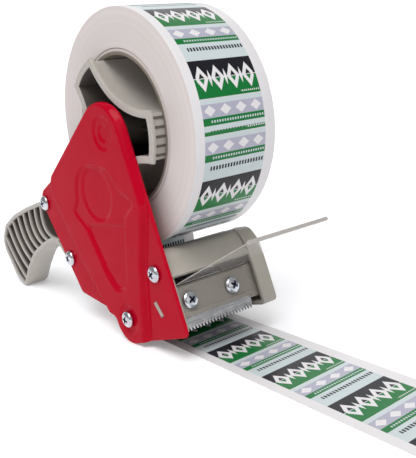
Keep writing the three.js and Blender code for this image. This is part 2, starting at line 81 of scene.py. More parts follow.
# corners are (x, z, radius)
def roundOutline(corners, step=6):
    points = []
    count = len(corners)
    for i, (x, z, radius) in enumerate(corners):
        corner = Vector((x, z))
        back = (Vector(corners[i - 1][:2]) - corner).normalized()
        ahead = (Vector(corners[(i + 1) % count][:2]) - corner).normalized()
        halfAngle = math.acos(max(-1, min(1, back.dot(ahead)))) / 2
        if not radius or halfAngle > 89.5 * rad:
            points.append((x, z))
            continue
        start = corner + back * radius / math.tan(halfAngle)
        end = corner + ahead * radius / math.tan(halfAngle)
        centre = corner + (back + ahead).normalized() * radius / math.sin(halfAngle)
        first = math.atan2(start.y - centre.y, start.x - centre.x)
        sweep = math.atan2(end.y - centre.y, end.x - centre.x) - first
        sweep = (sweep + math.pi) % (2 * math.pi) - math.pi
        pieces = max(1, math.ceil(abs(sweep) / (step * rad)))
        for k in range(pieces + 1):
            angle = first + sweep * k / pieces
            x, z = centre.x + radius * math.cos(angle), centre.y + radius * math.sin(angle)
            points.append((x, z))
    return points


def signedArea(points):
    return sum(
        points[i - 1][0] * points[i][1] - points[i][0] * points[i - 1][1] for i in range(len(points))
    ) / 2


# the outline moved outwards, point for point
def offsetOutline(points, distance):
    if not distance:
        return list(points)
    side = 1 if signedArea(points) > 0 else -1
    moved = []
    count = len(points)
    for i, (x, z) in enumerate(points):
        into = (Vector((x, z)) - Vector(points[i - 1])).normalized()
        out = (Vector(points[(i + 1) % count]) - Vector((x, z))).normalized()
        normal = Vector((into.y + out.y, -into.x - out.x)).normalized()
        stretch = 1 / max(0.5, normal.x * into.y - normal.y * into.x)
        moved.append((x + side * distance * stretch * normal.x, z + side * distance * stretch * normal.y))
    return moved


# the same line with points at an even spacing
def resample(points, spacing, closed=True):
    ends = list(points) + ([points[0]] if closed else [])
    lengths = [0.0]
    for a, b in zip(ends, ends[1:]):
        lengths.append(lengths[-1] + math.dist(a, b))
    count = max(3, round(lengths[-1] / spacing))
    wanted = [lengths[-1] * k / count for k in range(count + (0 if closed else 1))]
    xs = np.interp(wanted, lengths, [p[0] for p in ends])
    zs = np.interp(wanted, lengths, [p[1] for p in ends])
    return [(float(x), float(z)) for x, z in zip(xs, zs)]


def bezier(a, b, c, d, count):
    line = []
    for k in range(count + 1):
        t = k / count
        u = 1 - t
        line.append(tuple(
            u**3 * a[i] + 3 * u * u * t * b[i] + 3 * u * t * t * c[i] + t**3 * d[i] for i in (0, 1)
        ))
    return line


# a closed strip along a path, thick to the left of the way it runs
def ribbon(path, thick):
    left = []
    for i, (x, z) in enumerate(path):
        bx, bz = path[max(0, i - 1)]
        ax, az = path[min(len(path) - 1, i + 1)]
        length = math.hypot(ax - bx, az - bz)
        left.append((x - thick * (az - bz) / length, z + thick * (ax - bx) / length))
    return list(path) + left[::-1]


def insideOutline(point, outline):
    x, z = point
    hit = False
    for (ax, az), (bx, bz) in zip(outline, outline[1:] + outline[:1]):
        if (az > z) != (bz > z) and x < (bx - ax) * (z - az) / (bz - az) + ax:
            hit = not hit
    return hit


def along(point, way, distance):
    return (point[0] + way[0] * distance, point[1] + way[1] * distance)


# meshes

# vertices in drawing millimetres; uv is one pair for each corner of each face
def makeObject(name, vertices, faces, materials, body, nodes, slot, sharp=40, matrix=None, uv=None, slots=None):
    mesh = bpy.data.meshes.new(name)
    if matrix:
        vertices = [matrix @ Vector(v) for v in vertices]
    mesh.from_pydata([place(*v) for v in vertices], [], faces)
    for material in materials:
        mesh.materials.append(material)
    if slots:
        mesh.polygons.foreach_set("material_index", slots)
    if uv:
        layer = mesh.uv_layers.new(name="run")
        layer.data.foreach_set("uv", [value for pair in uv for value in pair])
    work = bmesh.new()
    work.from_mesh(mesh)
    if not uv:
        bmesh.ops.remove_doubles(work, verts=work.verts, dist=1e-7)
    bmesh.ops.recalc_face_normals(work, faces=work.faces)
    for face in work.faces:
        face.smooth = True
    for edge in work.edges:
        if len(edge.link_faces) == 2 and edge.calc_face_angle(0) > sharp * rad:
            edge.smooth = False
    work.to_mesh(mesh)
    work.free()
    piece = bpy.data.objects.new(name, mesh)
    bpy.context.scene.collection.objects.link(piece)
    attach(piece, body)
    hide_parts(*nodes)
    return piece


# vertices and faces that grow into one piece
class Shape:
    def __init__(self):
        self.vertices = []
        self.faces = []
        self.slots = []

    def rings(self, rings, closed=False, caps=True, slot=0):
        start = len(self.vertices)
        count = len(rings[0])
        for ring in rings:
            self.vertices.extend(ring)
        turns = len(rings) if closed else len(rings) - 1
        for k in range(turns):
            a = start + k * count
            b = start + (k + 1) % len(rings) * count
            for i in range(count):
                j = (i + 1) % count
                self.faces.append((a + i, a + j, b + j, b + i))
                self.slots.append(slot)
        if caps and not closed:
            self.faces.append(tuple(start + i for i in reversed(range(count))))
            last = start + (len(rings) - 1) * count
            self.faces.append(tuple(last + i for i in range(count)))
            self.slots.extend([slot, slot])
        return self

    # section is a list of (offset from the outline, y)
    def wrap(self, outline, section, caps=True, slot=0):
        rings = [[(x, y, z) for x, z in offsetOutline(outline, offset)] for offset, y in section]
        return self.rings(rings, caps=caps, slot=slot)

    # an outline across from low to high with rounded edges
    def slab(self, outline, low, high, edge=0.3, slot=0):
        return self.wrap(outline, roundSection(low, high, edge), slot=slot)

    # profile is a list of (radius, y), turned round the cross axis through spot
    def turned(self, profile, spot, count=64, closed=False, slot=0):
        rings = []
        for radius, y in profile:
            ring = []
            for k in range(count):
                angle = 2 * math.pi * k / count
                ring.append((spot[0] + radius * math.cos(angle), y, spot[1] + radius * math.sin(angle)))
            rings.append(ring)
        return self.rings(rings, closed, slot=slot)

    def piece(self, name, materials, body, nodes, slot, **more):
        several = self.slots if len(materials) > 1 else None
        return makeObject(name, self.vertices, self.faces, materials, body, nodes, slot, slots=several, **more)


def roundSection(low, high, edge, steps=4):
    section = []
    for k in range(steps + 1):
        angle = math.pi / 2 * k / steps
        section.append((-edge * (1 - math.sin(angle)), low + edge * (1 - math.cos(angle))))
    for k in range(steps + 1):
        angle = math.pi / 2 * k / steps
        section.append((-edge * (1 - math.cos(angle)), high - edge * (1 - math.sin(angle))))
    return section


# closed (radius, y) profile of a ring with rounded corners
def roundProfile(inner, outer, low, high, edge, steps=4):
    return roundOutline(
        [(inner, low, edge), (outer, low, edge), (outer, high, edge), (inner, high, edge)], 90 / steps
    )


# shader helpers

# screen colour 0-255 to linear
def ink(red, green, blue):
    values = []
    for value in (red, green, blue):
        value /= 255
        values.append(value / 12.92 if value <= 0.04045 else ((value + 0.055) / 1.055) ** 2.4)
    return (*values, 1)


def feed(tree, socket, value):
    if isinstance(value, bpy.types.NodeSocket):
        tree.links.new(value, socket)
    else:
        socket.default_value = value


def calc(tree, operation, *values):
    node = tree.nodes.new("ShaderNodeMath")
    node.operation = operation
    for socket, value in zip(node.inputs, values):
        feed(tree, socket, value)
    return node.outputs[0]


# 1 where value lies from low to high
def between(tree, value, low, high):
    above = calc(tree, "GREATER_THAN", value, low)
    return calc(tree, "MULTIPLY", above, calc(tree, "LESS_THAN", value, high))


def mixColour(tree, factor, first, second, blend="MIX"):
    node = tree.nodes.new("ShaderNodeMix")
    node.data_type = "RGBA"
    node.blend_type = blend
    feed(tree, node.inputs[0], factor)
    feed(tree, node.inputs[6], first)
    feed(tree, node.inputs[7], second)
    return node.outputs[2]


def noiseOf(tree, vector, scale, detail=2, roughness=0.5):
    node = tree.nodes.new("ShaderNodeTexNoise")
    if vector is not None:
        feed(tree, node.inputs["Vector"], vector)
    feed(tree, node.inputs["Scale"], scale)
    node.inputs["Detail"].default_value = detail
    node.inputs["Roughness"].default_value = roughness
    return node.outputs[0]


def spread(tree, value, low, high, outLow=0, outHigh=1):
    node = tree.nodes.new("ShaderNodeMapRange")
    feed(tree, node.inputs[0], value)
    for socket, number in zip(list(node.inputs)[1:5], (low, high, outLow, outHigh)):
        feed(tree, socket, number)
    return node.outputs[0]


def newGroup(name, inputs, outputs):
    group = bpy.data.node_groups.new(name, "ShaderNodeTree")
    for label, kind, value in inputs:
        socket = group.interface.new_socket(name=label, in_out="INPUT", socket_type="NodeSocket" + kind)
        if value is not None:
            socket.default_value = value
    for label, kind in outputs:
        group.interface.new_socket(name=label, in_out="OUTPUT", socket_type="NodeSocket" + kind)
    start = group.nodes.new("NodeGroupInput")
    end = group.nodes.new("NodeGroupOutput")
    return group, start, end


def objectPoint(tree):
    return tree.nodes.new("ShaderNodeTexCoord").outputs["Object"]


# shared effects

# fine spark-eroded grain, and a slow change of tone
def buildMouldGrain():
    group, start, end = newGroup(
        "mouldGrain",
        [("Point", "Vector", None), ("Fineness", "Float", 2600), ("Tone", "Float", 0.1)],
        [("Height", "Float"), ("Tone", "Float"), ("Rough", "Float")],
    )
    fine = noiseOf(group, start.outputs[0], start.outputs[1], 3, 0.6)
    slow = noiseOf(group, start.outputs[0], 45, 4, 0.55)
    streak = noiseOf(group, start.outputs[0], 260, 2, 0.5)
    group.links.new(calc(group, "ADD", fine, calc(group, "MULTIPLY", streak, 0.35)), end.inputs[0])
    both = calc(group, "ADD", calc(group, "MULTIPLY", slow, 0.7), calc(group, "MULTIPLY", fine, 0.3))
    shift = calc(group, "MULTIPLY", calc(group, "SUBTRACT", both, 0.5), start.outputs[2])
    group.links.new(calc(group, "ADD", shift, 1.0), end.inputs[1])
    group.links.new(spread(group, slow, 0.35, 0.65, -0.06, 0.06), end.inputs[2])
    return group


# rubbed edges, broken up by noise
def buildEdgeWear():
    group, start, end = newGroup(
        "edgeWear",
        [("Point", "Vector", None), ("Amount", "Float", 0.6)],
        [("Mask", "Float")],
    )
    edges = group.nodes.new("ShaderNodeNewGeometry").outputs["Pointiness"]
    worn = spread(group, edges, 0.52, 0.60)
    broken = spread(group, noiseOf(group, start.outputs[0], 420, 4, 0.6), 0.42, 0.62)
    mask = calc(group, "MULTIPLY", calc(group, "MULTIPLY", worn, broken), start.outputs[1])
    group.links.new(mask, end.inputs[0])
    return group


# light dust and finger marks, for roughness and a little tone
def buildDust():
    group, start, end = newGroup(
        "softDust",
        [("Point", "Vector", None), ("Amount", "Float", 0.5)],
        [("Mask", "Float"), ("Smear", "Float")],
    )
    specks = spread(group, noiseOf(group, start.outputs[0], 1500, 2, 0.5), 0.62, 0.78)
    cloud = spread(group, noiseOf(group, start.outputs[0], 30, 5, 0.6), 0.4, 0.75)
    lying = calc(group, "MULTIPLY", calc(group, "MULTIPLY", specks, cloud), start.outputs[1])
    group.links.new(lying, end.inputs[0])
    smear = spread(group, noiseOf(group, start.outputs[0], 75, 3, 0.6), 0.35, 0.7)
    group.links.new(calc(group, "MULTIPLY", smear, start.outputs[1]), end.inputs[1])
    return group


# rings round the hub axle: the edges of the wound layers
def buildWindings():
    group, start, end = newGroup(
        "windings",
        [("Point", "Vector", None), ("Spacing", "Float", 0.0006)],
        [("Height", "Float"), ("Tone", "Float"), ("Radius", "Float")],
    )
    split = group.nodes.new("ShaderNodeSeparateXYZ")
    group.links.new(start.outputs[0], split.inputs[0])
    across = calc(group, "SUBTRACT", split.outputs[0], axleSpot.x)
    up = calc(group, "SUBTRACT", split.outputs[2], axleSpot.z)
    squares = calc(group, "ADD", calc(group, "MULTIPLY", across, across), calc(group, "MULTIPLY", up, up))
    radius = calc(group, "SQRT", squares)
    rings = group.nodes.new("ShaderNodeCombineXYZ")
    group.links.new(calc(group, "DIVIDE", radius, start.outputs[1]), rings.inputs[0])
    fine = noiseOf(group, rings.outputs[0], 1.0, 2, 0.6)
    bands = noiseOf(group, rings.outputs[0], 0.16, 3, 0.6)
    group.links.new(fine, end.inputs[0])
    both = calc(group, "ADD", calc(group, "MULTIPLY", fine, 0.45), calc(group, "MULTIPLY", bands, 0.55))
    group.links.new(both, end.inputs[1])
    group.links.new(radius, end.inputs[2])
    return group


# lengths along and across the tape in mm; low and high are the edges of the print
printLook = {
    "pitch": 40.7, "low": -19.8, "high": 18.2, "blackBar": (0, 9.0), "greenBar": (9.35, 18.6),
    "paleFrom": 18.8, "ghostBand": (21.2, 27.4), "thinBand": (27.5, 31.0), "chainAt": 9.2, "faintAt": 24.3,
    "black": ink(20, 20, 28), "green": ink(8, 112, 50), "ghost": ink(172, 171, 188),
    "pale": ink(196, 206, 208), "film": ink(222, 219, 221),
}


# a repeating label of plain bands and lozenges; Run and Across are in metres
def buildTapePrint():
    group, start, end = newGroup(
        "tapePrint",
        [("Run", "Float", 0), ("Across", "Float", 0)],
        [("Colour", "Color"), ("Ink", "Float")],
    )
    p = printLook
    run = calc(group, "MULTIPLY", start.outputs[0], 1000)
    across = calc(group, "MULTIPLY", start.outputs[1], 1000)
    t = calc(group, "FLOORED_MODULO", run, p["pitch"])
    share = spread(group, across, p["low"], p["high"])
    inside = between(group, across, p["low"], p["high"])

    # 1 inside a row of pointed lozenges
    def diamonds(centre, count, phase, half, reach):
        pitch = (p["high"] - p["low"]) / count
        cell = calc(group, "FRACT", calc(group, "ADD", calc(group, "MULTIPLY", share, count), phase))
        sideways = calc(group, "MULTIPLY", calc(group, "SUBTRACT", cell, 0.5), pitch / half)
        lengthways = calc(group, "DIVIDE", calc(group, "SUBTRACT", t, centre), reach)
        total = calc(group, "ADD", calc(group, "ABSOLUTE", sideways), calc(group, "ABSOLUTE", lengthways))
        return calc(group, "LESS_THAN", total, 1.0)

    def dashes(low, high, count, share0, filled):
        saw = calc(group, "FRACT", calc(group, "MULTIPLY", share, count))
        row = calc(group, "MULTIPLY", between(group, t, low, high), calc(group, "LESS_THAN", saw, filled))
        return calc(group, "MULTIPLY", row, calc(group, "GREATER_THAN", share, share0))

    hollow = diamonds(p["chainAt"], 4, 0.0, 1.7, 2.8)
    big = calc(group, "SUBTRACT", diamonds(p["chainAt"], 4, 0.0, 3.9, 6.4), hollow)
    small = diamonds(p["chainAt"], 4, 0.5, 1.0, 4.2)
    margins = between(group, share, 0.04, 0.96)
    chain = calc(group, "MULTIPLY", calc(group, "MAXIMUM", big, small), margins)
    faintChain = calc(group, "MULTIPLY", diamonds(p["faintAt"], 4, 0.0, 3.4, 2.6), margins)
    colour = mixColour(group, between(group, t, p["paleFrom"], p["pitch"]), p["film"], p["pale"])
    colour = mixColour(group, between(group, t, *p["ghostBand"]), colour, p["ghost"])
    colour = mixColour(group, faintChain, colour, p["film"])
    colour = mixColour(group, between(group, t, *p["thinBand"]), colour, p["green"])
    colour = mixColour(group, dashes(28.7, 29.8, 24, 0.12, 0.55), colour, p["pale"])
    row = dashes(33.4, 35.5, 21, 0.1, 0.62)
    colour = mixColour(group, row, colour, p["black"])
    colour = mixColour(group, between(group, t, *p["blackBar"]), colour, p["black"])
    colour = mixColour(group, between(group, t, *p["greenBar"]), colour, p["green"])
    bars = between(group, t, p["blackBar"][0], p["greenBar"][1])
    colour = mixColour(group, calc(group, "MULTIPLY", bars, chain), colour, p["film"])
    colour = mixColour(group, dashes(16.6, 17.4, 30, 0.68, 0.5), colour, p["film"])
    colour = mixColour(group, inside, p["film"], colour)
    group.links.new(colour, end.inputs[0])
    group.links.new(calc(group, "MULTIPLY", inside, bars), end.inputs[1])
    return group


groups = {
    "grain": buildMouldGrain(), "wear": buildEdgeWear(), "dust": buildDust(),
    "windings": buildWindings(), "print": buildTapePrint(),
}


def useGroup(tree, key, **values):
    node = tree.nodes.new("ShaderNodeGroup")
    node.node_tree = groups[key]
    for label, value in values.items():
        feed(tree, node.inputs[label], value)
    return node


# a material whose plain values are set on the shader's own sockets
def newMaterial(name, **values):
    material = bpy.data.materials.new(name)
    material.use_nodes = True
    shader = material.node_tree.nodes["Principled BSDF"]
    for label, value in values.items():
        shader.inputs[label].default_value = value
    return material, material.node_tree, shader


def bumpFrom(tree, shader, height, distance, strength=1.0):
    bump = tree.nodes.new("ShaderNodeBump")
    bump.inputs["Strength"].default_value = strength
    bump.inputs["Distance"].default_value = distance
    tree.links.new(height, bump.inputs["Height"])
    tree.links.new(bump.outputs[0], shader.inputs["Normal"])


finish = {
    "dust": ink(205, 200, 192), "metalDust": ink(190, 188, 180),
    "enamel": ink(178, 3, 34), "enamelWorn": ink(228, 60, 84), "enamelDust": ink(215, 120, 125),
    "sideDark": ink(204, 195, 192), "sidePale": ink(221, 213, 210), "sideRim": ink(176, 164, 156),
    "boardDark": ink(108, 99, 90), "boardPale": ink(146, 137, 127), "boardSkin": ink(196, 186, 181),
    "boardSeam": ink(84, 74, 62), "film": ink(222, 218, 214), "filmDust": ink(245, 243, 240),
}


def mouldedPlastic(name, colour, rough, tone=0.14, wear=0.25, fineness=2400, depth=0.00004):
    material, tree, shader = newMaterial(name, **{"Specular IOR Level": 0.42})
    point = objectPoint(tree)
    grain = useGroup(tree, "grain", Point=point, Fineness=fineness, Tone=tone)
    worn = useGroup(tree, "wear", Point=point, Amount=wear)
    dust = useGroup(tree, "dust", Point=point, Amount=0.5)
    toned = mixColour(tree, 1.0, colour, grain.outputs["Tone"], "MULTIPLY")
    lighter = tuple(min(1, c * 1.5 + 0.03) for c in colour[:3]) + (1,)
    toned = mixColour(tree, worn.outputs[0], toned, lighter)
    toned = mixColour(tree, calc(tree, "MULTIPLY", dust.outputs[0], 0.3), toned, finish["dust"])
    tree.links.new(toned, shader.inputs["Base Color"])
    smear = calc(tree, "MULTIPLY", dust.outputs["Smear"], 0.12)
    total = calc(tree, "ADD", calc(tree, "ADD", grain.outputs["Rough"], smear), rough)
    tree.links.new(total, shader.inputs["Roughness"])
    bumpFrom(tree, shader, grain.outputs["Height"], depth)
    return material


# painted shade: the plastic's own colour at the mouth of a pocket, darkened further in where shade falls
def paintedShadePlastic(name, rim, shadeColour):
    material, tree, shader = newMaterial(name, **{"Specular IOR Level": 0.35})
    point = objectPoint(tree)
    split = tree.nodes.new("ShaderNodeSeparateXYZ")
    tree.links.new(point, split.inputs[0])
    mouth = place(0, size["backFace"], 0).y
    # painted shade mask: 0 at 0.6 mm into the pocket, 1 from 2.2 mm in
    inward = spread(tree, split.outputs[1], mouth + 0.0006, mouth + 0.0022)
    grain = useGroup(tree, "grain", Point=point, Tone=0.14)
    shade = mixColour(tree, inward, rim, shadeColour)
    tree.links.new(mixColour(tree, 1.0, shade, grain.outputs["Tone"], "MULTIPLY"), shader.inputs["Base Color"])
    tree.links.new(calc(tree, "ADD", grain.outputs["Rough"], 0.5), shader.inputs["Roughness"])
    bumpFrom(tree, shader, grain.outputs["Height"], 0.00004)
    return material


def redEnamel():
    material, tree, shader = newMaterial(
        "redEnamel", **{"Coat Roughness": 0.05, "Coat IOR": 1.35, "Specular IOR Level": 0.0}
    )
    point = objectPoint(tree)
    grain = useGroup(tree, "grain", Point=point, Fineness=900, Tone=0.1)
    worn = useGroup(tree, "wear", Point=point, Amount=0.5)
    dust = useGroup(tree, "dust", Point=point, Amount=0.6)
    colour = mixColour(tree, 1.0, finish["enamel"], grain.outputs["Tone"], "MULTIPLY")
    colour = mixColour(tree, calc(tree, "MULTIPLY", worn.outputs[0], 0.5), colour, finish["enamelWorn"])
    colour = mixColour(tree, calc(tree, "MULTIPLY", dust.outputs[0], 0.1), colour, finish["enamelDust"])
    tree.links.new(colour, shader.inputs["Base Color"])
    smear = calc(tree, "MULTIPLY", dust.outputs["Smear"], 0.1)
    tree.links.new(calc(tree, "ADD", smear, 0.2), shader.inputs["Roughness"])
    tree.links.new(spread(tree, dust.outputs["Smear"], 0, 1, 0.32, 0.2), shader.inputs["Coat Weight"])
    peel = calc(tree, "ADD", grain.outputs["Height"], calc(tree, "MULTIPLY", noiseOf(tree, point, 170, 2), 2.5))
    bumpFrom(tree, shader, peel, 0.00006, 0.6)
    return material


# bright plated or ground steel; streak stretches the scratches
def plated(name, colour, rough, streak=(1, 1, 1), depth=0.00003):
    material, tree, shader = newMaterial(name, Metallic=1.0)
    point = objectPoint(tree)
    stretch = tree.nodes.new("ShaderNodeVectorMath")
    stretch.operation = "MULTIPLY"
    tree.links.new(point, stretch.inputs[0])
    stretch.inputs[1].default_value = streak
    scratches = noiseOf(tree, stretch.outputs[0], 1400, 2, 0.5)
    cloud = noiseOf(tree, point, 180, 3, 0.6)
    dust = useGroup(tree, "dust", Point=point, Amount=0.6)
    dark = tuple(c * 0.72 for c in colour[:3]) + (1,)
    tone = mixColour(tree, spread(tree, cloud, 0.35, 0.7), colour, dark)
    dusty = mixColour(tree, calc(tree, "MULTIPLY", dust.outputs[0], 0.4), tone, finish["metalDust"])
    tree.links.new(dusty, shader.inputs["Base Color"])
    changes = calc(tree, "ADD", spread(tree, scratches, 0.3, 0.7, -0.06, 0.1), rough)
    tree.links.new(changes, shader.inputs["Roughness"])
    bumpFrom(tree, shader, scratches, depth, 0.5)
    return material


def printedTape():
    material, tree, shader = newMaterial(
        "printedTape", **{"Coat Weight": 0.18, "Coat Roughness": 0.14, "Specular IOR Level": 0.22}
    )
    run = tree.nodes.new("ShaderNodeUVMap")
    run.uv_map = "run"
    split = tree.nodes.new("ShaderNodeSeparateXYZ")
    tree.links.new(run.outputs[0], split.inputs[0])
    label = useGroup(tree, "print", Run=split.outputs[0], Across=split.outputs[1])
    point = objectPoint(tree)
    grain = useGroup(tree, "grain", Point=point, Fineness=700, Tone=0.06)
    toned = mixColour(tree, 1.0, label.outputs["Colour"], grain.outputs["Tone"], "MULTIPLY")
    tree.links.new(toned, shader.inputs["Base Color"])
    dust = useGroup(tree, "dust", Point=point, Amount=0.4)
    rough = calc(tree, "ADD", calc(tree, "MULTIPLY", dust.outputs["Smear"], 0.12), 0.34)
    tree.links.new(calc(tree, "SUBTRACT", rough, calc(tree, "MULTIPLY", label.outputs["Ink"], 0.05)),
                   shader.inputs["Roughness"])
    bumpFrom(tree, shader, noiseOf(tree, point, 60, 3), 0.0003, 0.35)
    return material


def rollSide():
    material, tree, shader = newMaterial("rollSide", **{"Specular IOR Level": 0.3, "Coat Roughness": 0.3})
    point = objectPoint(tree)
    rings = useGroup(tree, "windings", Point=point, Spacing=0.0005)
    tone = spread(tree, rings.outputs["Tone"], 0.3, 0.7)
    colour = mixColour(tree, tone, finish["sideDark"], finish["sidePale"])
    rim = spread(tree, rings.outputs["Radius"], size["coreOuter"] * mm, (size["coreOuter"] + 1.6) * mm, 1, 0)
    colour = mixColour(tree, calc(tree, "MULTIPLY", rim, 0.35), colour, finish["sideRim"])
    tree.links.new(colour, shader.inputs["Base Color"])
    tree.links.new(spread(tree, tone, 0, 1, 0.5, 0.4), shader.inputs["Roughness"])
    bumpFrom(tree, shader, rings.outputs["Height"], 0.00008, 0.5)
    return material


def coreBoard():
    material, tree, shader = newMaterial("coreBoard", **{"Specular IOR Level": 0.2})
    point = objectPoint(tree)
    rings = useGroup(tree, "windings", Point=point, Spacing=0.0004)
    grain = useGroup(tree, "grain", Point=point, Fineness=500, Tone=0.35)
    colour = mixColour(tree, rings.outputs["Tone"], finish["boardDark"], finish["boardPale"])
    split = tree.nodes.new("ShaderNodeSeparateXYZ")
    tree.links.new(point, split.inputs[0])
    angle = calc(tree, "ARCTAN2", calc(tree, "SUBTRACT", split.outputs[2], axleSpot.z),
                 calc(tree, "SUBTRACT", split.outputs[0], axleSpot.x))
    turn = calc(tree, "ADD", calc(tree, "MULTIPLY", angle, 0.5 / math.pi),
                calc(tree, "MULTIPLY", split.outputs[1], 1 / 0.075))
    start = spread(tree, rings.outputs["Radius"], 0.0390, 0.0394)
    colour = mixColour(tree, start, colour, finish["boardSkin"])
    seam = calc(tree, "LESS_THAN", calc(tree, "FRACT", turn), 0.012)
    colour = mixColour(tree, calc(tree, "MULTIPLY", seam, 0.6), colour, finish["boardSeam"])
    tree.links.new(mixColour(tree, 1.0, colour, grain.outputs["Tone"], "MULTIPLY"), shader.inputs["Base Color"])
    tree.links.new(calc(tree, "ADD", grain.outputs["Rough"], 0.85), shader.inputs["Roughness"])
    bumpFrom(tree, shader, grain.outputs["Height"], 0.00012)
    return material


def clearFilm():
    material, tree, shader = newMaterial(
        "clearFilm", **{"Alpha": 0.2, "Coat Weight": 0.6, "Coat Roughness": 0.1, "Specular IOR Level": 0.6}
    )
    point = objectPoint(tree)
    dust = useGroup(tree, "dust", Point=point, Amount=0.8)
    dusty = mixColour(tree, dust.outputs[0], finish["film"], finish["filmDust"])
    tree.links.new(dusty, shader.inputs["Base Color"])
    rough = calc(tree, "ADD", calc(tree, "MULTIPLY", dust.outputs["Smear"], 0.2), 0.14)
    tree.links.new(rough, shader.inputs["Roughness"])
    bumpFrom(tree, shader, noiseOf(tree, point, 120, 2), 0.0001, 0.4)
    return material


look = {
    "red": redEnamel(),
    "cover": mouldedPlastic("coverGrey", ink(166, 160, 151), 0.42),
    "grip": mouldedPlastic("gripGrey", ink(178, 173, 166), 0.44),
    # grip grey with painted shade further into the pockets
    "gripPaintedShade": paintedShadePlastic("gripPocketPaintedShade", ink(178, 173, 166), ink(84, 76, 70)),
    "clamp": mouldedPlastic("clampGrey", ink(138, 132, 124), 0.45),
    "hub": mouldedPlastic("hubGrey", ink(176, 170, 163), 0.4),
    # the hub grey darkened: painted shade for the hub's insides and pad ridges
    "hubPaintedShade": mouldedPlastic("hubPaintedShade", ink(92, 86, 80), 0.55, wear=0.05),
    "black": mouldedPlastic("blackPlastic", ink(30, 30, 33), 0.42, fineness=1800),
    "rubber": mouldedPlastic("rollerRubber", ink(38, 38, 40), 0.75, fineness=1200, depth=0.00008),
    "fibre": mouldedPlastic("washerFibre", ink(96, 60, 42), 0.8, tone=0.5, fineness=900, depth=0.00012),
    "zinc": plated("brightZinc", ink(214, 217, 224), 0.2),
    # dark bluish steel: painted shade inside the screws' cross recesses
    "recess": plated("recessPaintedShade", ink(58, 66, 86), 0.45),
    "blade": plated("groundBlade", ink(226, 227, 230), 0.26, streak=(1, 0.04, 1), depth=0.000006),
    "wire": plated("springWire", ink(178, 178, 182), 0.3, streak=(0.3, 1, 0.3)),
    "print": printedTape(),
    "side": rollSide(),
    "board": coreBoard(),
    "film": clearFilm(),
}
look["filmEdge"] = mouldedPlastic("filmEdge", ink(172, 167, 162), 0.3, wear=0.0)
print("materials made:", len(look))


# side plate
plateValues = {
    "grid": 0.8, "edge": 0.75, "tearDepth": 0.9, "facetDepth": 0.75, "domeDepth": 0.7,
    "axleRings": ((9.4, 0.8, 1.8), (5.2, 0.7, 1.5)), "dish": (9, 0.5, 2.5),
}


# signed distance to an outline, positive inside, for an array of points
def distanceIn(points, outline):
    px, pz = points[:, 0], points[:, 1]
    best = np.full(len(points), 1e9)
    inside = np.zeros(len(points), bool)
    for (ax, az), (bx, bz) in zip(outline, outline[1:] + outline[:1]):
        dx, dz = bx - ax, bz - az
        t = np.clip(((px - ax) * dx + (pz - az) * dz) / (dx * dx + dz * dz + 1e-12), 0, 1)
        best = np.minimum(best, np.hypot(px - ax - t * dx, pz - az - t * dz))
        crossing = (az > pz) != (bz > pz)
        inside ^= crossing & (px < (bx - ax) * (pz - az) / (bz - az + 1e-12) + ax)
    return np.where(inside, best, -best)


def smoothStep(values):
    t = np.clip(values, 0, 1)
    return t * t * (3 - 2 * t)


def plateOutline():
    return roundOutline([
        (*frontTop, 20.5), (*frontFoot, 3.5), (-2.2, -3.6, rollerZ), (-7.4, 11.5, 4),
        (-48.8, 15.5, 5), (-90, 70, 8), (-66, 83.4, 20),
    ], 4)


# how far the pressed sheet stands out, as y
def plateHeight(points):
    field = roundOutline([
        (5.5, 138.2, 18), (27.6, 78, 16), (21, 45, 30), (17, -9, 0), (-4, -12, 0),
        (-12, 11, 8), (-32, 32, 20), (-67.5, 76.1, 6), (-63.4, 84.4, 8),
    ])
    tear = roundOutline([
        (-34, 95.5, 17), (1, 95.5, 12), (9, 85, 8), (25.5, 79.5, 3.5), (13.5, 69.5, 5), (10.8, 50, 30),
        (8, 30, 8), (-3, 25.5, 6), (-13, 33.5, 15), (-28.5, 57, 5), (-44, 67, 4), (-37, 72, 6),
    ])
    facet = roundOutline([(-29, 61, 3), (11.3, 66.4, 3), (9.2, 47, 30), (6.8, 32, 6), (-3, 27.8, 5),
                          (-12.3, 36, 12), (-27, 56.5, 4)])
    rise = size["flangeFace"] - size["plateFace"]
    y = np.full(len(points), float(size["flangeFace"]))
    y -= rise * smoothStep(distanceIn(points, field) / size["rampRun"] + 1)
    y += plateValues["tearDepth"] * smoothStep(distanceIn(points, tear) / 2.2)
    y += plateValues["facetDepth"] * smoothStep(distanceIn(points, facet) / 1.8)
    dome = np.hypot(points[:, 0] + 14.5, points[:, 1] - 79.5)
    y += plateValues["domeDepth"] * smoothStep((16 - dome) / 2.6)
    ring = np.hypot(points[:, 0], points[:, 1] - axleZ + 0.4)
    for radius, depth, run in plateValues["axleRings"]:
        y += depth * smoothStep((radius - ring) / run)
    radius, depth, run = plateValues["dish"]
    seat = np.hypot(points[:, 0] - rollerX, points[:, 1] - rollerZ)
    y += depth * smoothStep((radius - seat) / run)
    return y


def slotOutline(grow):
    top, end = (29, 27.8), (34.6, 21.4)
    run = (Vector(end) - Vector(top)).normalized()
    side = (-run.y * (0.9 + grow), run.x * (0.9 + grow))
    top, end = along(top, run, -grow), along(end, run, grow)
    return [along(top, side, 1), along(end, side, 1), along(end, side, -1), along(top, side, -1)]


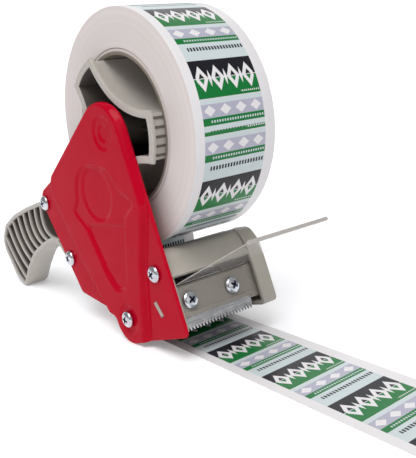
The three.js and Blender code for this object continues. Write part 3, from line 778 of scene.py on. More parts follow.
def sidePlate():
    rim = resample(plateOutline(), 1.1)
    hole = resample(slotOutline(0.3), 0.9)
    insets = [0.0, 0.1, 0.3, 0.55, plateValues["edge"], 1.2, 1.7, 2.3, 2.9, 3.5, 4.1]
    points = []
    for inset in insets:
        points.extend(offsetOutline(rim, -inset))
    holeStart = len(points)
    points.extend(hole)
    rimCount, holeCount = len(rim), len(hole)
    step = plateValues["grid"]
    xs = np.arange(-90, 60, step)
    zs = np.arange(0, 132, step * 0.87)
    grid = np.array([(x + (k % 2) * step / 2, z) for k, z in enumerate(zs) for x in xs])
    keep = distanceIn(grid, rim) > insets[-1] + step * 0.6
    keep &= distanceIn(grid, hole) < -step * 0.5
    points.extend(map(tuple, grid[keep]))
    edges = [(i, (i + 1) % rimCount) for i in range(rimCount)]
    edges += [(holeStart + i, holeStart + (i + 1) % holeCount) for i in range(holeCount)]
    made = delaunay_2d_cdt([Vector(p) for p in points], edges, [], 0, 1e-5)
    flat = np.array([tuple(v) for v in made[0]])
    centres = np.array([flat[list(f)].mean(0) for f in made[2]])
    shown = (distanceIn(centres, rim) > 0) & (distanceIn(centres, hole) < 0)
    faces = [tuple(f) for f, use in zip(made[2], shown) if use]
    y = plateHeight(flat)
    depth = np.clip(distanceIn(flat, rim), 0, plateValues["edge"])
    edge = plateValues["edge"]
    front = y + edge - np.sqrt(np.maximum(edge**2 - (edge - depth) ** 2, 0))
    back = y + size["plateThick"]
    count = len(flat)
    vertices = [(x, y, z) for face in (front, back) for (x, z), y in zip(flat, face)]
    allFaces = faces + [tuple(count + i for i in reversed(f)) for f in faces]
    used = {}
    for f in faces:
        for a, b in zip(f, f[1:] + f[:1]):
            used[(a, b)] = used.get((a, b), 0) + 1
    for a, b in used:
        if (b, a) not in used:
            allFaces.append((b, a, count + a, count + b))
    makeObject("sidePlate", vertices, allFaces, [look["red"]], "frame", ["frame_plate"], "red_paint", 50)


sidePlate()
print("side plate made")


# screws
screwValues = {
    "radius": 4.5, "height": 2.6, "rim": 0.55, "shank": 2, "length": 8, "arm": 2.5, "armHalf": 0.55,
    "recess": 1.7, "standOff": 0.3,
}


# a tapered cross that cuts the recess; local Z is out of the head
def crossCutter():
    v = screwValues
    shape = Shape()
    for turn in (0, 90):
        spin = Matrix.Rotation(turn * rad, 3, "Z")
        rings = []
        for z, arm, half in ((v["height"] - v["recess"], v["arm"] * 0.4, v["armHalf"] * 0.75),
                             (v["height"] + 0.6, v["arm"] * 1.12, v["armHalf"] * 1.15)):
            ring = [(-arm, -half, z), (arm, -half, z), (arm, half, z), (-arm, half, z)]
            rings.append([tuple(spin @ Vector(p)) for p in ring])
        shape.rings(rings)
    return shape


def bareObject(shape):
    mesh = bpy.data.meshes.new("work")
    mesh.from_pydata([Vector(v) for v in shape.vertices], [], shape.faces)
    work = bmesh.new()
    work.from_mesh(mesh)
    bmesh.ops.recalc_face_normals(work, faces=work.faces)
    work.to_mesh(mesh)
    work.free()
    thing = bpy.data.objects.new("work", mesh)
    bpy.context.scene.collection.objects.link(thing)
    return thing


def screwMesh():
    v = screwValues
    shape = Shape()
    shank = v["shank"]
    profile = [
        (shank - 0.1, -v["length"]), (shank, -v["length"] + 0.2), (shank, -0.1), (v["radius"] - 0.15, 0),
        (v["radius"], 0.15), (v["radius"], v["rim"]),
    ]
    for k in range(1, 11):
        angle = math.pi / 2 * k / 10
        radius = max(0.05, v["radius"] * math.cos(angle) ** 0.8)
        profile.append((radius, v["rim"] + (v["height"] - v["rim"]) * math.sin(angle)))
    turns = [2 * math.pi * k / 48 for k in range(48)]
    shape.rings([[(r * math.cos(turn), r * math.sin(turn), z) for turn in turns] for r, z in profile])
    head = bareObject(shape)
    cutter = bareObject(crossCutter())
    cut = head.modifiers.new("cut", "BOOLEAN")
    cut.operation = "DIFFERENCE"
    cut.solver = "EXACT"
    cut.use_self = True
    cut.object = cutter
    bevel = head.modifiers.new("soft", "BEVEL")
    bevel.width = 0.09
    bevel.segments = 2
    bevel.limit_method = "ANGLE"
    bevel.angle_limit = 38 * rad
    bpy.context.view_layer.update()
    made = head.evaluated_get(bpy.context.evaluated_depsgraph_get()).to_mesh()
    vertices = [tuple(p.co) for p in made.vertices]
    faces = [tuple(f.vertices) for f in made.polygons]
    # faces sunk below the head's dome, inside the cross, take slot 1, the painted shade
    slots = []
    for face in made.polygons:
        x, y, z = face.center
        radius = math.hypot(x, y)
        skin = np.interp(-radius, [-r for r, _ in profile[3:]], [h for _, h in profile[3:]])
        slots.append(1 if radius < v["arm"] * 1.1 and z < skin - 0.12 and z > 0 else 0)
    bpy.data.objects.remove(head)
    bpy.data.objects.remove(cutter)
    return vertices, faces, slots


frontWay = Vector((frontTop[0] - frontFoot[0], frontTop[1] - frontFoot[1])).normalized()
frontNormal = Vector((frontWay.y, -frontWay.x))


# a point behind the front edge line, and up along it
def onFront(setBack, up):
    return along(along(frontFoot, frontWay, up), frontNormal, -setBack)


clampValues = {
    "face": 3.6, "thick": 1.2, "bladeThick": 0.8, "gap": 0.3, "low": 9.3, "high": 24.6,
    "from": -30.8, "to": 15, "screwUp": 17.2, "screws": (-25.4, 2.3), "toothPitch": 2, "toothDepth": 2.6,
    "tip": 2.4, "shelfThick": 2.4, "bladeTop": 20, "grind": 0.35, "hone": 0.25,
}


def addScrews():
    vertices, faces, slots = screwMesh()
    # bright zinc, and the painted shade for the cross recess
    metals = [look["zinc"], look["recess"]]
    outward = Matrix(((1, 0, 0), (0, 0, -1), (0, 1, 0)))  # local Z to -Y
    plan = [
        ("upperHandleScrew", "handle_screw_upper", "handleUpper", size["flangeFace"], 18),
        ("lowerHandleScrew", "handle_screw_lower", "handleLower", size["flangeFace"], 62),
        ("housingScrew", "housing_screw", "housing", size["flangeFace"], 40),
        ("rollerScrew", "roller_screw", "roller", size["plateFace"], 75),
    ]
    for name, node, spot, face, turn in plan:
        x, z = screwSpots[spot]
        seat = Matrix.Translation((x, face - screwValues["standOff"], z))
        matrix = seat @ outward.to_4x4() @ Matrix.Rotation(turn * rad, 4, "Z")
        makeObject(name, vertices, faces, metals, "frame", [node], "zinc_steel", 30, matrix, slots=slots)
    ahead = Vector((frontNormal.x, 0, frontNormal.y))
    side = Vector((0, 1, 0))
    lean = Matrix((side.cross(ahead), side, ahead)).transposed()
    for name, node, y, turn in (
        ("nearClampScrew", "clamp_screw_near", clampValues["screws"][0], 30),
        ("farClampScrew", "clamp_screw_far", clampValues["screws"][1], 55),
    ):
        x, z = onFront(clampValues["face"] - screwValues["standOff"], clampValues["screwUp"])
        matrix = Matrix.Translation((x, y, z)) @ lean.to_4x4() @ Matrix.Rotation(turn * rad, 4, "Z")
        makeObject(name, vertices, faces, metals, "frame", [node], "zinc_steel", 30, matrix, slots=slots)


addScrews()
print("screws made")


# pistol grip
gripValues = {
    "wall": 2.6, "far": -15, "floor": -20, "round": 4.5, "ribs": 8, "ribThick": 1.5, "screwPost": 5.2,
}


def gripOutline():
    return roundOutline([
        (-88, 66.8, 0), (-116, 58.4, 40), (-138, 50.4, 30), (-155.5, 40.5, 14), (-162.8, 29, 10),
        (-161, 21.5, 12), (-148, 5, 12), (-135.5, -1.2, 5), (-125.6, 12.4, 30), (-113, 26, 24),
        (-96, 35.6, 60), (-79, 42.8, 12), (-66, 31.5, 6), (-55, 24.6, 6), (-46.5, 32, 8),
        (-52, 45, 20), (-66, 62, 20), (-77.5, 73.4, 6),
    ])


# centre line of a rib, t from 0 at the plate to 1 at the tip
def ribLine(t):
    start = Vector((-95.3 + (-159.5 + 95.3) * t, 61.1 - 20 * t - 8 * t * t))
    end = Vector((-79.3 + (-137.5 + 79.3) * t, 43 - 24 * t - 10 * t * t))
    bow = 7 + (1.5 - 7) * t
    across = end - start
    side = Vector((across.y, -across.x)).normalized()
    line = []
    for k in range(61):
        s = -0.2 + 1.4 * k / 60
        line.append(tuple(start + across * s + side * bow * 4 * s * (1 - s)))
    return line


def pistolGrip():
    v = gripValues
    near = size["backFace"]
    outline = gripOutline()
    section = [(-v["wall"], v["floor"]), (-v["wall"], near + 0.5), (-v["wall"] + 0.15, near + 0.15),
               (-v["wall"] + 0.5, near), (-0.7, near), (-0.2, near + 0.2), (0, near + 0.7)]
    for k in range(9):
        angle = math.pi / 2 * k / 8
        section.append((-v["round"] * (1 - math.cos(angle)), v["far"] - v["round"] * (1 - math.sin(angle))))
    shape = Shape().wrap(outline, section)
    # slot 1 carries the painted shade: the pocket floor, walls and ribs
    shape.slots[-2] = 1  # the floor of the pockets
    shape.slots[:len(outline)] = [1] * len(outline)  # and their walls
    inner = offsetOutline(outline, -v["wall"] * 0.6)
    for i in range(v["ribs"]):
        line = [p for p in ribLine(i / (v["ribs"] - 1)) if insideOutline(p, inner)]
        side = ribbon(line, v["ribThick"] / 2)[len(line):][::-1]  # one face of the rib
        strip = ribbon(side, -v["ribThick"])
        shape.slab(strip, near + 0.15, v["floor"] + 0.5, 0.35, slot=1)
    post = [(0.1, near), (v["screwPost"] - 0.3, near), (v["screwPost"], near + 0.3),
            (v["screwPost"], v["floor"] + 1)]
    for spot in (screwSpots["handleUpper"], screwSpots["handleLower"]):
        shape.turned(post, spot, 40)
    shape.piece("pistolGrip", [look["grip"], look["gripPaintedShade"]], "frame", ["handle_grip"], "grey_plastic")


pistolGrip()
print("grip made")


# front housing, clamp, blade and flap
# points are (x, z) on the outside of the cover; rim and boss values are its end wall's
coverValues = {
    "back": (13, 45.4), "rise": (20, 51.6), "crest": (33, 54.6), "lip": (42.6, 43.4),
    "riseRound": 12, "crestRound": 7, "shelfLow": 7.4, "shelfHigh": 25.2, "rimExtra": 0.3, "rimStart": 24,
    "screwPost": 5.2, "screwPostEnd": -22, "bossBore": 4.3, "boss": 7.5,
}


def frontCover():
    c = coverValues
    near, far, thick = size["backFace"], size["wallFar"], size["wallThick"]
    rise, crest = (*c["rise"], c["riseRound"]), (*c["crest"], c["crestRound"])
    line = roundOutline([(*c["back"], 0), rise, crest, (*onFront(4, 36), 0), (*c["lip"], 0)], 4)
    line = resample(line, 1.2, False)
    shape = Shape()
    shape.slab(ribbon(line[::-1], thick), near, size["rimFrom"] - 0.25, 0.25)
    wall = roundOutline([
        (*c["back"], 2), rise, crest, (*onFront(2, 36), 0), (*onFront(1.4, 27), 0),
        (*onFront(1.4, 1.6), 3), (24, 8.6, 10), (6, 2.6, 9), (-5.5, 9, 9), (0, 26, 14),
    ], 4)
    shape.slab(wall, far - thick, far, 0.8)
    dense = resample(wall, 0.9)  # the rim runs from the back of the cover over its crest to the foot
    first = min(range(len(dense)), key=lambda i: math.dist(dense[i], c["back"]))
    ordered = dense[first:] + dense[:first]
    if ordered[5][1] < ordered[0][1]:
        ordered = [ordered[0]] + ordered[:0:-1]
    band = [p for p in ordered[: int(len(ordered) * 0.72)] if p[0] > c["rimStart"]]
    shape.slab(ribbon(band[::-1], thick + c["rimExtra"]), size["rimFrom"], far - 0.6, 0.45)
    nearWall = roundOutline([
        (25.8, 53, 0), crest, (*onFront(3, 36), 0), (*onFront(2.2, 27), 0),
        (*onFront(2.2, 3.4), 0), (40, 13.4, 3), (27, 20, 4), (22.5, 40, 6),
    ])
    shape.slab(nearWall, near, near + thick, 0.3)
    v = clampValues
    back = v["face"] + v["thick"] + v["bladeThick"] + 2 * v["gap"]
    low, high = c["shelfLow"], c["shelfHigh"]
    shelf = [onFront(back, low), onFront(back, high), onFront(back + v["shelfThick"], high),
             onFront(back + v["shelfThick"], low)]
    shape.slab(shelf, near + 1, far - 1, 0.2)
    post = [(0.1, near), (c["screwPost"] - 0.2, near), (c["screwPost"], near + 0.3),
            (c["screwPost"], c["screwPostEnd"])]
    shape.turned(post, screwSpots["housing"], 40)
    shape.slab(slotOutline(0), size["plateFace"] + 2.4, near + 1, 0.2)
    boss = roundProfile(c["bossBore"], c["boss"], far - 1, far + 0.05, 0.2)
    shape.turned(boss, (rollerX, rollerZ), 48, closed=True)
    shape.piece("frontCover", [look["cover"]], "frame", ["front_housing"], "grey_plastic")


def clampPlate():
    v = clampValues
    f, t = v["face"], v["thick"]
    section = roundOutline([
        (*onFront(f, v["low"]), 0.3), (*onFront(f, v["high"]), 0.3), (*onFront(f + t, v["high"]), 0),
        (*onFront(f + t, v["low"]), 0),
    ], 20)
    shape = Shape().slab(section, v["from"], v["to"], 0.25)
    lip = roundOutline([
        (*onFront(f - 0.7, v["low"] - 0.2), 0.35), (*onFront(f - 0.7, v["low"] + 1.8), 0.35),
        (*onFront(f + 0.3, v["low"] + 2.6), 0), (*onFront(f + 0.3, v["low"] - 0.2), 0),
    ], 20)
    shape.slab(lip, v["from"], v["to"], 0.25)
    shape.piece("clampPlate", [look["clamp"]], "frame", ["blade_clamp"], "grey_plastic")


def sawBlade():
    v = clampValues
    outer = v["face"] + v["thick"] + v["gap"]
    inner = outer + v["bladeThick"]
    count = int((v["to"] - v["from"]) / v["toothPitch"])
    root, tip = v["tip"] + v["toothDepth"], v["tip"]
    line = [(v["from"], v["bladeTop"])]
    for i in range(count + 1):
        y = v["from"] + i * v["toothPitch"]
        line.append((y, root))
        if i < count:
            line.append((y + v["toothPitch"] * 0.45, tip))
            line.append((y + v["toothPitch"] * 0.55, tip))
    line.append((v["from"] + count * v["toothPitch"], v["bladeTop"]))
    rings = []
    for setBack, shrink in ((outer, v["grind"]), (outer + v["hone"], 0.0), (inner, 0.0)):
        ring = []
        for y, up in line:
            x, z = onFront(setBack, up + (shrink if up < 10 else 0))
            ring.append((x, y, z))
        rings.append(ring)
    Shape().rings(rings).piece("sawBlade", [look["blade"]], "frame", ["cutting_blade"], "blade_steel", sharp=25)


flapValues = {
    "root": (40.2, 37.3), "rise": 29, "length": 68, "from": -30.4, "to": 17.7, "thick": 0.5,
    "bead": 2.6, "beadOut": 0.66,
}


def clearFlap():
    v = flapValues
    way = (math.cos(v["rise"] * rad), math.sin(v["rise"] * rad))
    side = (-way[1], way[0])
    film = v["length"] - v["bead"]
    steps = [(film * k / 24, 0.0) for k in range(25)]
    for k in range(1, 9):
        t = k / 8
        reach = film + v["bead"] * (1 - math.cos(math.pi * t)) / 2
        steps.append((reach, v["beadOut"] * math.sin(math.pi * t) ** 0.6))
    rings = []
    for reach, out in steps:
        out = max(0, out - 0.25 * (reach > v["length"] - 0.01))
        spot = along(v["root"], way, reach)
        low, high = along(spot, side, -out), along(spot, side, v["thick"] + out)
        rings.append([(low[0], v["from"], low[1]), (low[0], v["to"], low[1]),
                      (high[0], v["to"], high[1]), (high[0], v["from"], high[1])])
    shape = Shape().rings(rings)
    # clear film, with its far long edge and its bead in the paler edge finish
    shape.slots = [0 if k < 24 and i < 3 else 1 for k in range(len(rings) - 1) for i in range(4)] + [1, 1]
    shape.piece("clearFlap", [look["film"], look["filmEdge"]], "flap", ["tape_flap"], "clear_film")


frontCover()
clampPlate()
sawBlade()
clearFlap()
print("front housing, clamp, blade and flap made")


# applicator roller
rollerValues = {"half": 25, "tube": 9, "shaft": 4, "grooves": 9, "collar": 7, "clip": 7.4}


def applicatorRoller():
    v = rollerValues
    spot = (rollerX, rollerZ)
    outer, half = size["rollerRadius"], v["half"]
    profile = [
        (v["tube"] + 0.3, -half), (outer - 0.9, -half), (outer - 0.25, -half + 0.3), (outer, -half + 0.9),
    ]
    for k in range(v["grooves"]):
        y = -half + 5 + k * (2 * half - 10) / (v["grooves"] - 1)
        profile += [(outer, y - 0.7), (outer - 0.45, y - 0.35), (outer - 0.45, y + 0.35), (outer, y + 0.7)]
    profile += [(outer, half - 0.9), (outer - 0.25, half - 0.3), (outer - 0.9, half), (v["tube"] + 0.3, half)]
    Shape().turned(profile, spot, 96, closed=True).piece(
        "rollerSleeve", [look["rubber"]], "roller", ["roller_sleeve"], "rubber")
    tube = roundProfile(v["shaft"] + 0.3, v["tube"], -half - 0.4, half + 0.4, 0.4)
    Shape().turned(tube, spot, closed=True).piece(
        "rollerTube", [look["black"]], "roller", ["roller_tube"], "black_plastic")
    start = size["plateFace"] + size["plateThick"] + 0.3
    collar, shaft, end = v["collar"], v["shaft"], size["wallFar"] + 2.6
    profile = [
        (0.1, start), (collar, start), (collar, -half - 1.5), (collar - 0.3, -half - 1.2),
        (shaft, -half - 1.2), (shaft, end - 0.5), (shaft - 0.5, end), (0.1, end),
    ]
    Shape().turned(profile, spot, 48).piece(
        "rollerShaft", [look["zinc"]], "frame", ["roller_shaft"], "zinc_steel")
    ring = roundProfile(shaft + 0.3, v["clip"], size["wallFar"] + 0.3, size["wallFar"] + 1.5, 0.3)
    clip = Shape().turned(ring, spot, 56, closed=True)
    clip.piece("shaftClip", [look["zinc"]], "frame", ["roller_clip"], "zinc_steel")


applicatorRoller()
print("roller made")


# hub, axle and brake
hubValues = {
    "lobe": 37.1, "pads": ((-20, 15), (109, 142), (224, 258)), "bow": 7.4, "wall": 2.2, "lip": 1.6,
    "webFrom": 2, "webThick": 2.4, "boss": 9.5, "bore": 6.3, "ridges": 5, "fins": (-2.5, 125.5, 241),
}


def hubOutline():
    v = hubValues
    points = []
    for i, (low, high) in enumerate(v["pads"]):
        for k in range(13):
            angle = (low + (high - low) * k / 12) * rad
            points.append((v["lobe"] * math.cos(angle), axleZ + v["lobe"] * math.sin(angle)))
        following = v["pads"][(i + 1) % 3][0] + (360 if i == 2 else 0)
        a = Vector(points[-1])
        b = Vector((v["lobe"] * math.cos(following * rad), axleZ + v["lobe"] * math.sin(following * rad)))
        inward = (Vector((0, axleZ)) - (a + b) / 2).normalized()
        for k in range(1, 24):
            t = k / 24
            points.append(tuple(a + (b - a) * t + inward * v["bow"] * 4 * t * (1 - t)))
    return points


def hubBody():
    v = hubValues
    near, far = size["hubNear"], size["hubFar"]
    outline = hubOutline()
    lip, wall = v["lip"], v["wall"]
    section = [
        (lip - 0.35, near), (lip, near + 0.35), (lip, near + 1.7), (lip - 0.3, near + 2), (0.3, near + 2),
        (0.05, near + 2.3), (0, near + 3), (0, far - 0.4), (-0.4, far), (-wall + 0.4, far), (-wall, far - 0.4),
        (-wall, near + 0.35), (-wall + 0.35, near),
    ]
    shape = Shape().wrap(outline, section[:11], caps=False)
    # slot 1 is the painted-shade grey: the inner wall here, then the web, boss, fins and pad ridges
    shape.wrap(outline, [section[10], section[11]], caps=False, slot=1)
    shape.wrap(outline, [section[11], section[12], section[0]], caps=False)
    shape.wrap(outline, [(-wall + 0.3, v["webFrom"]), (-wall + 0.3, v["webFrom"] + v["webThick"])], slot=1)
    shape.turned(roundProfile(v["bore"], v["boss"], near, far + 2, 0.5), (0, axleZ), 64, closed=True, slot=1)
    for angle in v["fins"]:
        turn = angle * rad
        way, side = (math.cos(turn), math.sin(turn)), (-math.sin(turn) * 0.8, math.cos(turn) * 0.8)
        inner = along((0, axleZ), way, v["boss"] - 0.5)
        outer = along((0, axleZ), way, v["lobe"] - wall + 0.3)
        fin = [along(inner, side, -1), along(outer, side, -1), along(outer, side, 1), along(inner, side, 1)]
        shape.slab(fin, -20, v["webFrom"] + 0.2, 0.2, slot=1)
    for low, high in v["pads"]:
        for k in range(v["ridges"]):
            angle = (low + (high - low) * (k + 0.5) / v["ridges"]) * rad
            centre = (v["lobe"] * math.cos(angle), axleZ + v["lobe"] * math.sin(angle))
            across = (-math.sin(angle) * 0.75, math.cos(angle) * 0.75)
            out = (math.cos(angle), math.sin(angle))
            foot, crest = along(centre, out, -0.3), along(centre, out, 0.3)
            rib = [along(foot, across, -1), along(crest, across, -0.8), along(crest, across, 0.8),
                   along(foot, across, 1)]
            shape.slab(rib, near + 2.2, far - 1, 0.05, slot=1)
    shape.piece("hubBody", [look["hub"], look["hubPaintedShade"]], "hub", ["hub_shell"], "grey_plastic", sharp=35)


# radii, thicknesses and lengths of the parts on the axle, from the plate outwards
brakeValues = {
    "flange": 11, "pin": 6, "thread": 4, "threadCut": 0.35, "threadTurns": 14, "pinEnd": 39.6,
    "washer": 12, "washerBore": 6.7, "washerThick": 1.4, "springLength": 6.4, "springRadius": 7.6,
    "springTurns": 3, "wire": 0.7, "cup": 10.5, "cupThick": 1, "bore": 4.3, "knob": 14, "knobDeep": 8,
    "flutes": 12, "fluteDepth": 0.78, "knobDish": 9.4,
}


def hubAxle():
    b = brakeValues
    start = size["plateFace"] + size["plateThick"] + 0.3
    pin, thread, shoulder = b["pin"], b["thread"], size["hubFar"] + 2.4
    profile = [
        (0.1, start), (b["flange"], start), (b["flange"], size["hubNear"] - 0.5),
        (b["flange"] - 0.2, size["hubNear"] - 0.3), (pin, size["hubNear"] - 0.3), (pin, shoulder - 0.3),
        (pin - 0.3, shoulder), (thread, shoulder),
    ]
    for k in range(b["threadTurns"]):
        y = size["hubFar"] + 3 + k
        profile += [(thread, y), (thread - b["threadCut"], y + 0.5)]
    end = b["pinEnd"]
    profile += [(thread - 0.4, end - 0.4), (thread - 0.8, end), (0.1, end)]
    Shape().turned(profile, (0, axleZ), 48).piece(
        "hubAxle", [look["zinc"]], "frame", ["hub_axle"], "zinc_steel", sharp=30)


def washerSpringAndCup():
    b = brakeValues
    spot = (0, axleZ)
    low = size["hubFar"] + 2.3
    springLow = low + b["washerThick"]
    springHigh = springLow + b["springLength"]
    ring = roundProfile(b["washerBore"], b["washer"], low, springLow, 0.25)
    washer = Shape().turned(ring, spot, closed=True)
    washer.piece("brakeWasher", [look["fibre"]], "frame", ["brake_washer"], "fibre")
    cupLow = springHigh + 0.3
    ring = roundProfile(b["bore"], b["cup"], cupLow, cupLow + b["cupThick"], 0.3)
    cup = Shape().turned(ring, spot, closed=True)
    cup.piece("springCup", [look["zinc"]], "frame", ["spring_cup"], "zinc_steel")
    wire = b["wire"]
    rings = []
    for k in range(181):
        t = k / 180
        angle = b["springTurns"] * 2 * math.pi * t
        y = springLow + 0.3 + wire + (b["springLength"] - 0.3 - 2 * wire) * t
        out = Vector((math.cos(angle), 0, math.sin(angle)))
        centre = Vector((0, y, axleZ)) + out * b["springRadius"]
        rings.append([
            tuple(centre + out * wire * math.cos(q) + Vector((0, wire * math.sin(q), 0)))
            for q in (2 * math.pi * i / 12 for i in range(12))
        ])
    Shape().rings(rings).piece("brakeSpring", [look["wire"]], "frame", ["brake_spring"], "spring_steel")
    return springHigh


# low is where the knob's inner face stands
def brakeKnob(low):
    b = brakeValues
    high = low + b["knobDeep"]
    count = b["flutes"] * 12
    turns = [2 * math.pi * i / count for i in range(count)]
    outline = []
    for angle in turns:
        radius = b["knob"] + b["fluteDepth"] * math.cos(b["flutes"] * angle)
        outline.append((radius * math.cos(angle), axleZ + radius * math.sin(angle)))

    def circle(radius, y):
        return [(radius * math.cos(angle), y, axleZ + radius * math.sin(angle)) for angle in turns]

    def fluted(inset, y):
        return [(x, y, z) for x, z in offsetOutline(outline, -inset)]

    rings = [
        circle(b["bore"], high - 1.8), circle(b["bore"], low), fluted(0.5, low), fluted(0, low + 0.5),
        fluted(0, high - 1.2), fluted(0.35, high - 0.4), fluted(1.2, high), circle(b["knobDish"] + 0.6, high),
        circle(b["knobDish"], high - 0.7), circle(0.5, high - 0.9),
    ]
    Shape().rings(rings).piece("brakeKnob", [look["black"]], "knob", ["brake_knob"], "black_plastic")


hubBody()
hubAxle()
springEnd = washerSpringAndCup()
brakeKnob(springEnd + 1.6)
print("hub and brake made")


# tape

# angles: labelAngle in radians, peel in degrees
tapeValues = {
    "labelAngle": 1.22, "stripLabel": 47.9, "tail": 318, "thick": 0.4, "peel": -104, "teeth": 20,
    "toothReach": 1.6, "labelsBetween": 7,
}


def rollOfTape():
    outer, inner, half = size["rollRadius"], size["coreOuter"] + 0.3, size["tapeHalf"]
    count = 240
    profile = [
        (inner, -half), (inner + 10, -half), (outer - 0.5, -half), (outer - 0.12, -half + 0.12),
        (outer, -half + 0.5), (outer, -half / 2), (outer, 0), (outer, half / 2), (outer, half - 0.5),
        (outer - 0.12, half - 0.12), (outer - 0.5, half), (inner + 10, half), (inner, half),
    ]
    vertices, faces, uv, slots = [], [], [], []
    for radius, y in profile:
        for k in range(count):
            angle = 2 * math.pi * k / count
            vertices.append((radius * math.cos(angle), y, axleZ + radius * math.sin(angle)))
    last = len(profile)
    for j in range(last):
        following = (j + 1) % last
        for k in range(count):
            k2 = (k + 1) % count
            faces.append((j * count + k, j * count + k2, following * count + k2, following * count + k))
            runA, runB = (
                (tapeValues["labelAngle"] - 2 * math.pi * step / count) * outer * mm for step in (k, k + 1)
            )
            ya, yb = profile[j][1] * mm, profile[following][1] * mm
            uv += [(runA, ya), (runB, ya), (runB, yb), (runA, yb)]
            slots.append(0 if 3 <= j <= 8 else 1)  # the outside is printed, the sides aren't
    makeObject("tapeRoll", vertices, faces, [look["print"], look["side"]], "hub", ["tape_roll"], "tape_film",
               uv=uv, slots=slots, sharp=60)


def tapeCore():
    half = size["tapeHalf"]
    profile = roundProfile(size["coreInner"], size["coreOuter"], -half, half, 0.25)
    shape = Shape().turned(profile, (0, axleZ), 144, closed=True)
    shape.piece("tapeCore", [look["board"]], "hub", ["tape_core"], "cardboard")


# centre line of the free tape: down from the roll, round the roller, along the floor
def tapePath():
    v = tapeValues
    angle = v["peel"] * rad
    clear = size["rollRadius"] + 0.3
    start = (clear * math.cos(angle), axleZ + clear * math.sin(angle))
    wrap = size["rollerRadius"] + 0.3 + v["thick"] / 2
    line = bezier(start, (-14.6, 42), (rollerX - wrap - 8, 30), (rollerX - wrap, rollerZ), 28)
    for k in range(1, 19):
        angle = math.pi + k / 18 * math.pi / 2
        line.append((rollerX + wrap * math.cos(angle), max(0.2, rollerZ + wrap * math.sin(angle))))
    bend = len(line) - 1
    steps = 120
    for k in range(1, steps + 1):
        line.append((rollerX + v["tail"] * k / steps, v["thick"] / 2))
    return line, bend


def tapeTail():
    v = tapeValues
    line, bend = tapePath()
    lengths = [0.0]
    for a, b in zip(line, line[1:]):
        lengths.append(lengths[-1] + math.dist(a, b))
    startRun = (v["labelAngle"] - v["peel"] * rad) * size["rollRadius"]
    stripRun = v["labelsBetween"] * printLook["pitch"] - (v["stripLabel"] - line[bend][0])
    rows = v["teeth"] * 2
    half = size["tapeHalf"]
    vertices, faces, runs = [], [], []
    for i, (x, z) in enumerate(line):
        bx, bz = line[max(0, i - 1)]
        ax, az = line[min(len(line) - 1, i + 1)]
        length = math.hypot(ax - bx, az - bz)
        normal = (-(az - bz) / length, (ax - bx) / length)
        if i <= bend:
            run = startRun + (stripRun - startRun) * lengths[i] / lengths[bend]
        else:
            run = stripRun + lengths[i] - lengths[bend]
        for side in (1, -1):
            for k in range(rows + 1):
                reach = v["toothReach"] if i == len(line) - 1 and k % 2 else 0
                y = -half + 2 * half * k / rows
                out = side * v["thick"] / 2
                vertices.append((x + reach + out * normal[0], y, z + out * normal[1]))
                runs.append((run + reach, y))
    width = rows + 1
    for i in range(len(line) - 1):
        a, b = i * 2 * width, (i + 1) * 2 * width
        for k in range(rows):
            faces.append((a + k, b + k, b + k + 1, a + k + 1))
            faces.append((a + width + k, a + width + k + 1, b + width + k + 1, b + width + k))
        for k, turn in ((0, 1), (rows, -1)):
            ring = (a + k, a + width + k, b + width + k, b + k)
            faces.append(ring if turn > 0 else ring[::-1])
    for a, turn in ((0, 1), ((len(line) - 1) * 2 * width, -1)):
        for k in range(rows):
            ring = (a + k, a + k + 1, a + width + k + 1, a + width + k)
            faces.append(ring if turn > 0 else ring[::-1])
    uv = [(runs[i][0] * mm, runs[i][1] * mm) for face in faces for i in face]
    tail = makeObject("tapeTail", vertices, faces, [look["print"]], "frame", ["tape_web", "tape_strip"],
                      "tape_film", uv=uv, sharp=60)


rollOfTape()
tapeCore()
tapeTail()
print("tape made")


# floor, light and camera

# the floor sweeps up behind the part: from, bend and radius are metres along its facing
studio = {
    "floor": ink(243, 243, 246), "floorPale": ink(247, 247, 249), "glow": 0.17, "sun": 2.05, "sunAngle": 40,
    "key": 4.5, "fill": 2.5, "back": 2.5, "world": 0.3, "from": -3.0, "bend": 6.0, "radius": 1.5, "half": 9,
    "facing": 52,
}


def addFloor():
    mesh = bpy.data.meshes.new("floor")
    vertices, faces = [], []
    bend, radius = studio["bend"], studio["radius"]
    profile = [(studio["from"], 0.0), (bend, 0.0)]
    for k in range(1, 13):
        angle = math.pi / 2 * k / 12
        profile.append((bend + radius * math.sin(angle), radius - radius * math.cos(angle)))
    profile.append((bend + radius, 6.0))
    turn = studio["facing"] * rad
    facing = Vector((-math.sin(turn), math.cos(turn), 0))
    side = Vector((facing.y, -facing.x, 0))
    for reach, height in profile:
        for across in (-studio["half"], studio["half"]):
            p = facing * reach + side * across
            vertices.append((p.x, p.y, height))
    for k in range(len(profile) - 1):
        faces.append((2 * k, 2 * k + 1, 2 * k + 3, 2 * k + 2))
    mesh.from_pydata(vertices, [], faces)
    for polygon in mesh.polygons:
        polygon.use_smooth = True
    material, tree, shader = newMaterial(
        "paleFloor", **{"Roughness": 0.75, "Specular IOR Level": 0.2, "Emission Color": (1, 1, 1, 1),
                        "Emission Strength": studio["glow"]}
    )
    tone = noiseOf(tree, objectPoint(tree), 3, 2)
    bright = mixColour(tree, tone, studio["floor"], studio["floorPale"])
    tree.links.new(bright, shader.inputs["Base Color"])
    mesh.materials.append(material)
    floor = bpy.data.objects.new("floor", mesh)
    bpy.context.scene.collection.objects.link(floor)


def addLight(name, spot, target, power, width, height):
    light = bpy.data.lights.new(name, "AREA")
    light.shape = "RECTANGLE"
    light.size, light.size_y = width, height
    light.energy = power
    lamp = bpy.data.objects.new(name, light)
    lamp.location = spot
    lamp.rotation_mode = "QUATERNION"
    lamp.rotation_quaternion = (Vector(target) - Vector(spot)).to_track_quat("-Z", "Y")
    bpy.context.scene.collection.objects.link(lamp)


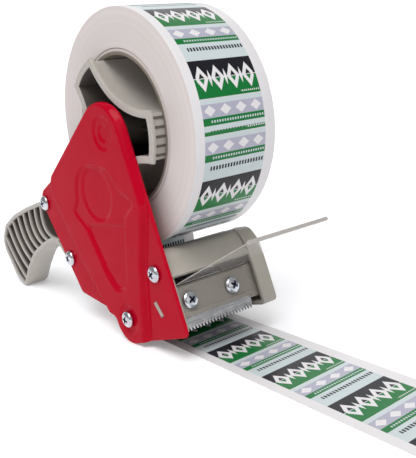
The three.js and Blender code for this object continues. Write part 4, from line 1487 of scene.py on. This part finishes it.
def addSun(name, way, power, angle):
    light = bpy.data.lights.new(name, "SUN")
    light.energy = power
    light.angle = angle * rad
    lamp = bpy.data.objects.new(name, light)
    lamp.rotation_mode = "QUATERNION"
    lamp.rotation_quaternion = Vector(way).to_track_quat("-Z", "Y")
    bpy.context.scene.collection.objects.link(lamp)


# azimuth, elevation and roll are in degrees
cameraValues = {
    "azimuth": 52.11, "elevation": 14.53, "roll": -4.71, "spot": (318.3, -222.6, 152.8), "lens": 56.43,
}


def addCamera():
    azimuth, elevation, roll = (cameraValues[key] * rad for key in ("azimuth", "elevation", "roll"))
    back = Vector((
        math.sin(azimuth) * math.cos(elevation), -math.cos(azimuth) * math.cos(elevation), math.sin(elevation),
    ))
    right = (-back).cross(Vector((0, 0, 1))).normalized()
    up = right.cross(-back)
    rolledRight = right * math.cos(roll) + up * math.sin(roll)
    rolledUp = -right * math.sin(roll) + up * math.cos(roll)
    data = bpy.data.cameras.new("camera")
    data.sensor_width = 36
    data.lens = cameraValues["lens"]
    data.clip_start, data.clip_end = 0.01, 50
    camera = bpy.data.objects.new("camera", data)
    camera.matrix_world = Matrix.Translation(place(*cameraValues["spot"])) @ Matrix(
        (rolledRight, rolledUp, back)
    ).transposed().to_4x4()
    bpy.context.scene.collection.objects.link(camera)
    bpy.context.scene.camera = camera


addFloor()
middle = place(0, 0, 70)
addSun("daylight", (-0.22, 0.3, -0.93), studio["sun"], studio["sunAngle"])
addLight("key", (0.5, -1.1, 1.3), middle, studio["key"], 1.2, 1.2)
addLight("fill", (1.5, 0.1, 0.7), middle, studio["fill"], 1.2, 1.0)
addLight("back", (-0.9, 0.6, 1.3), middle, studio["back"], 1.4, 1.0)
addCamera()
world = bpy.data.worlds.new("studio")
world.use_nodes = True
sky = world.node_tree.nodes["Background"]
sky.inputs[0].default_value = (1, 1, 1, 1)
seen = world.node_tree.nodes.new("ShaderNodeLightPath").outputs["Is Camera Ray"]
world.node_tree.links.new(spread(world.node_tree, seen, 0, 1, studio["world"], 1), sky.inputs[1])
bpy.context.scene.world = world
bpy.context.scene.view_settings.view_transform = "Standard"
print("studio made")
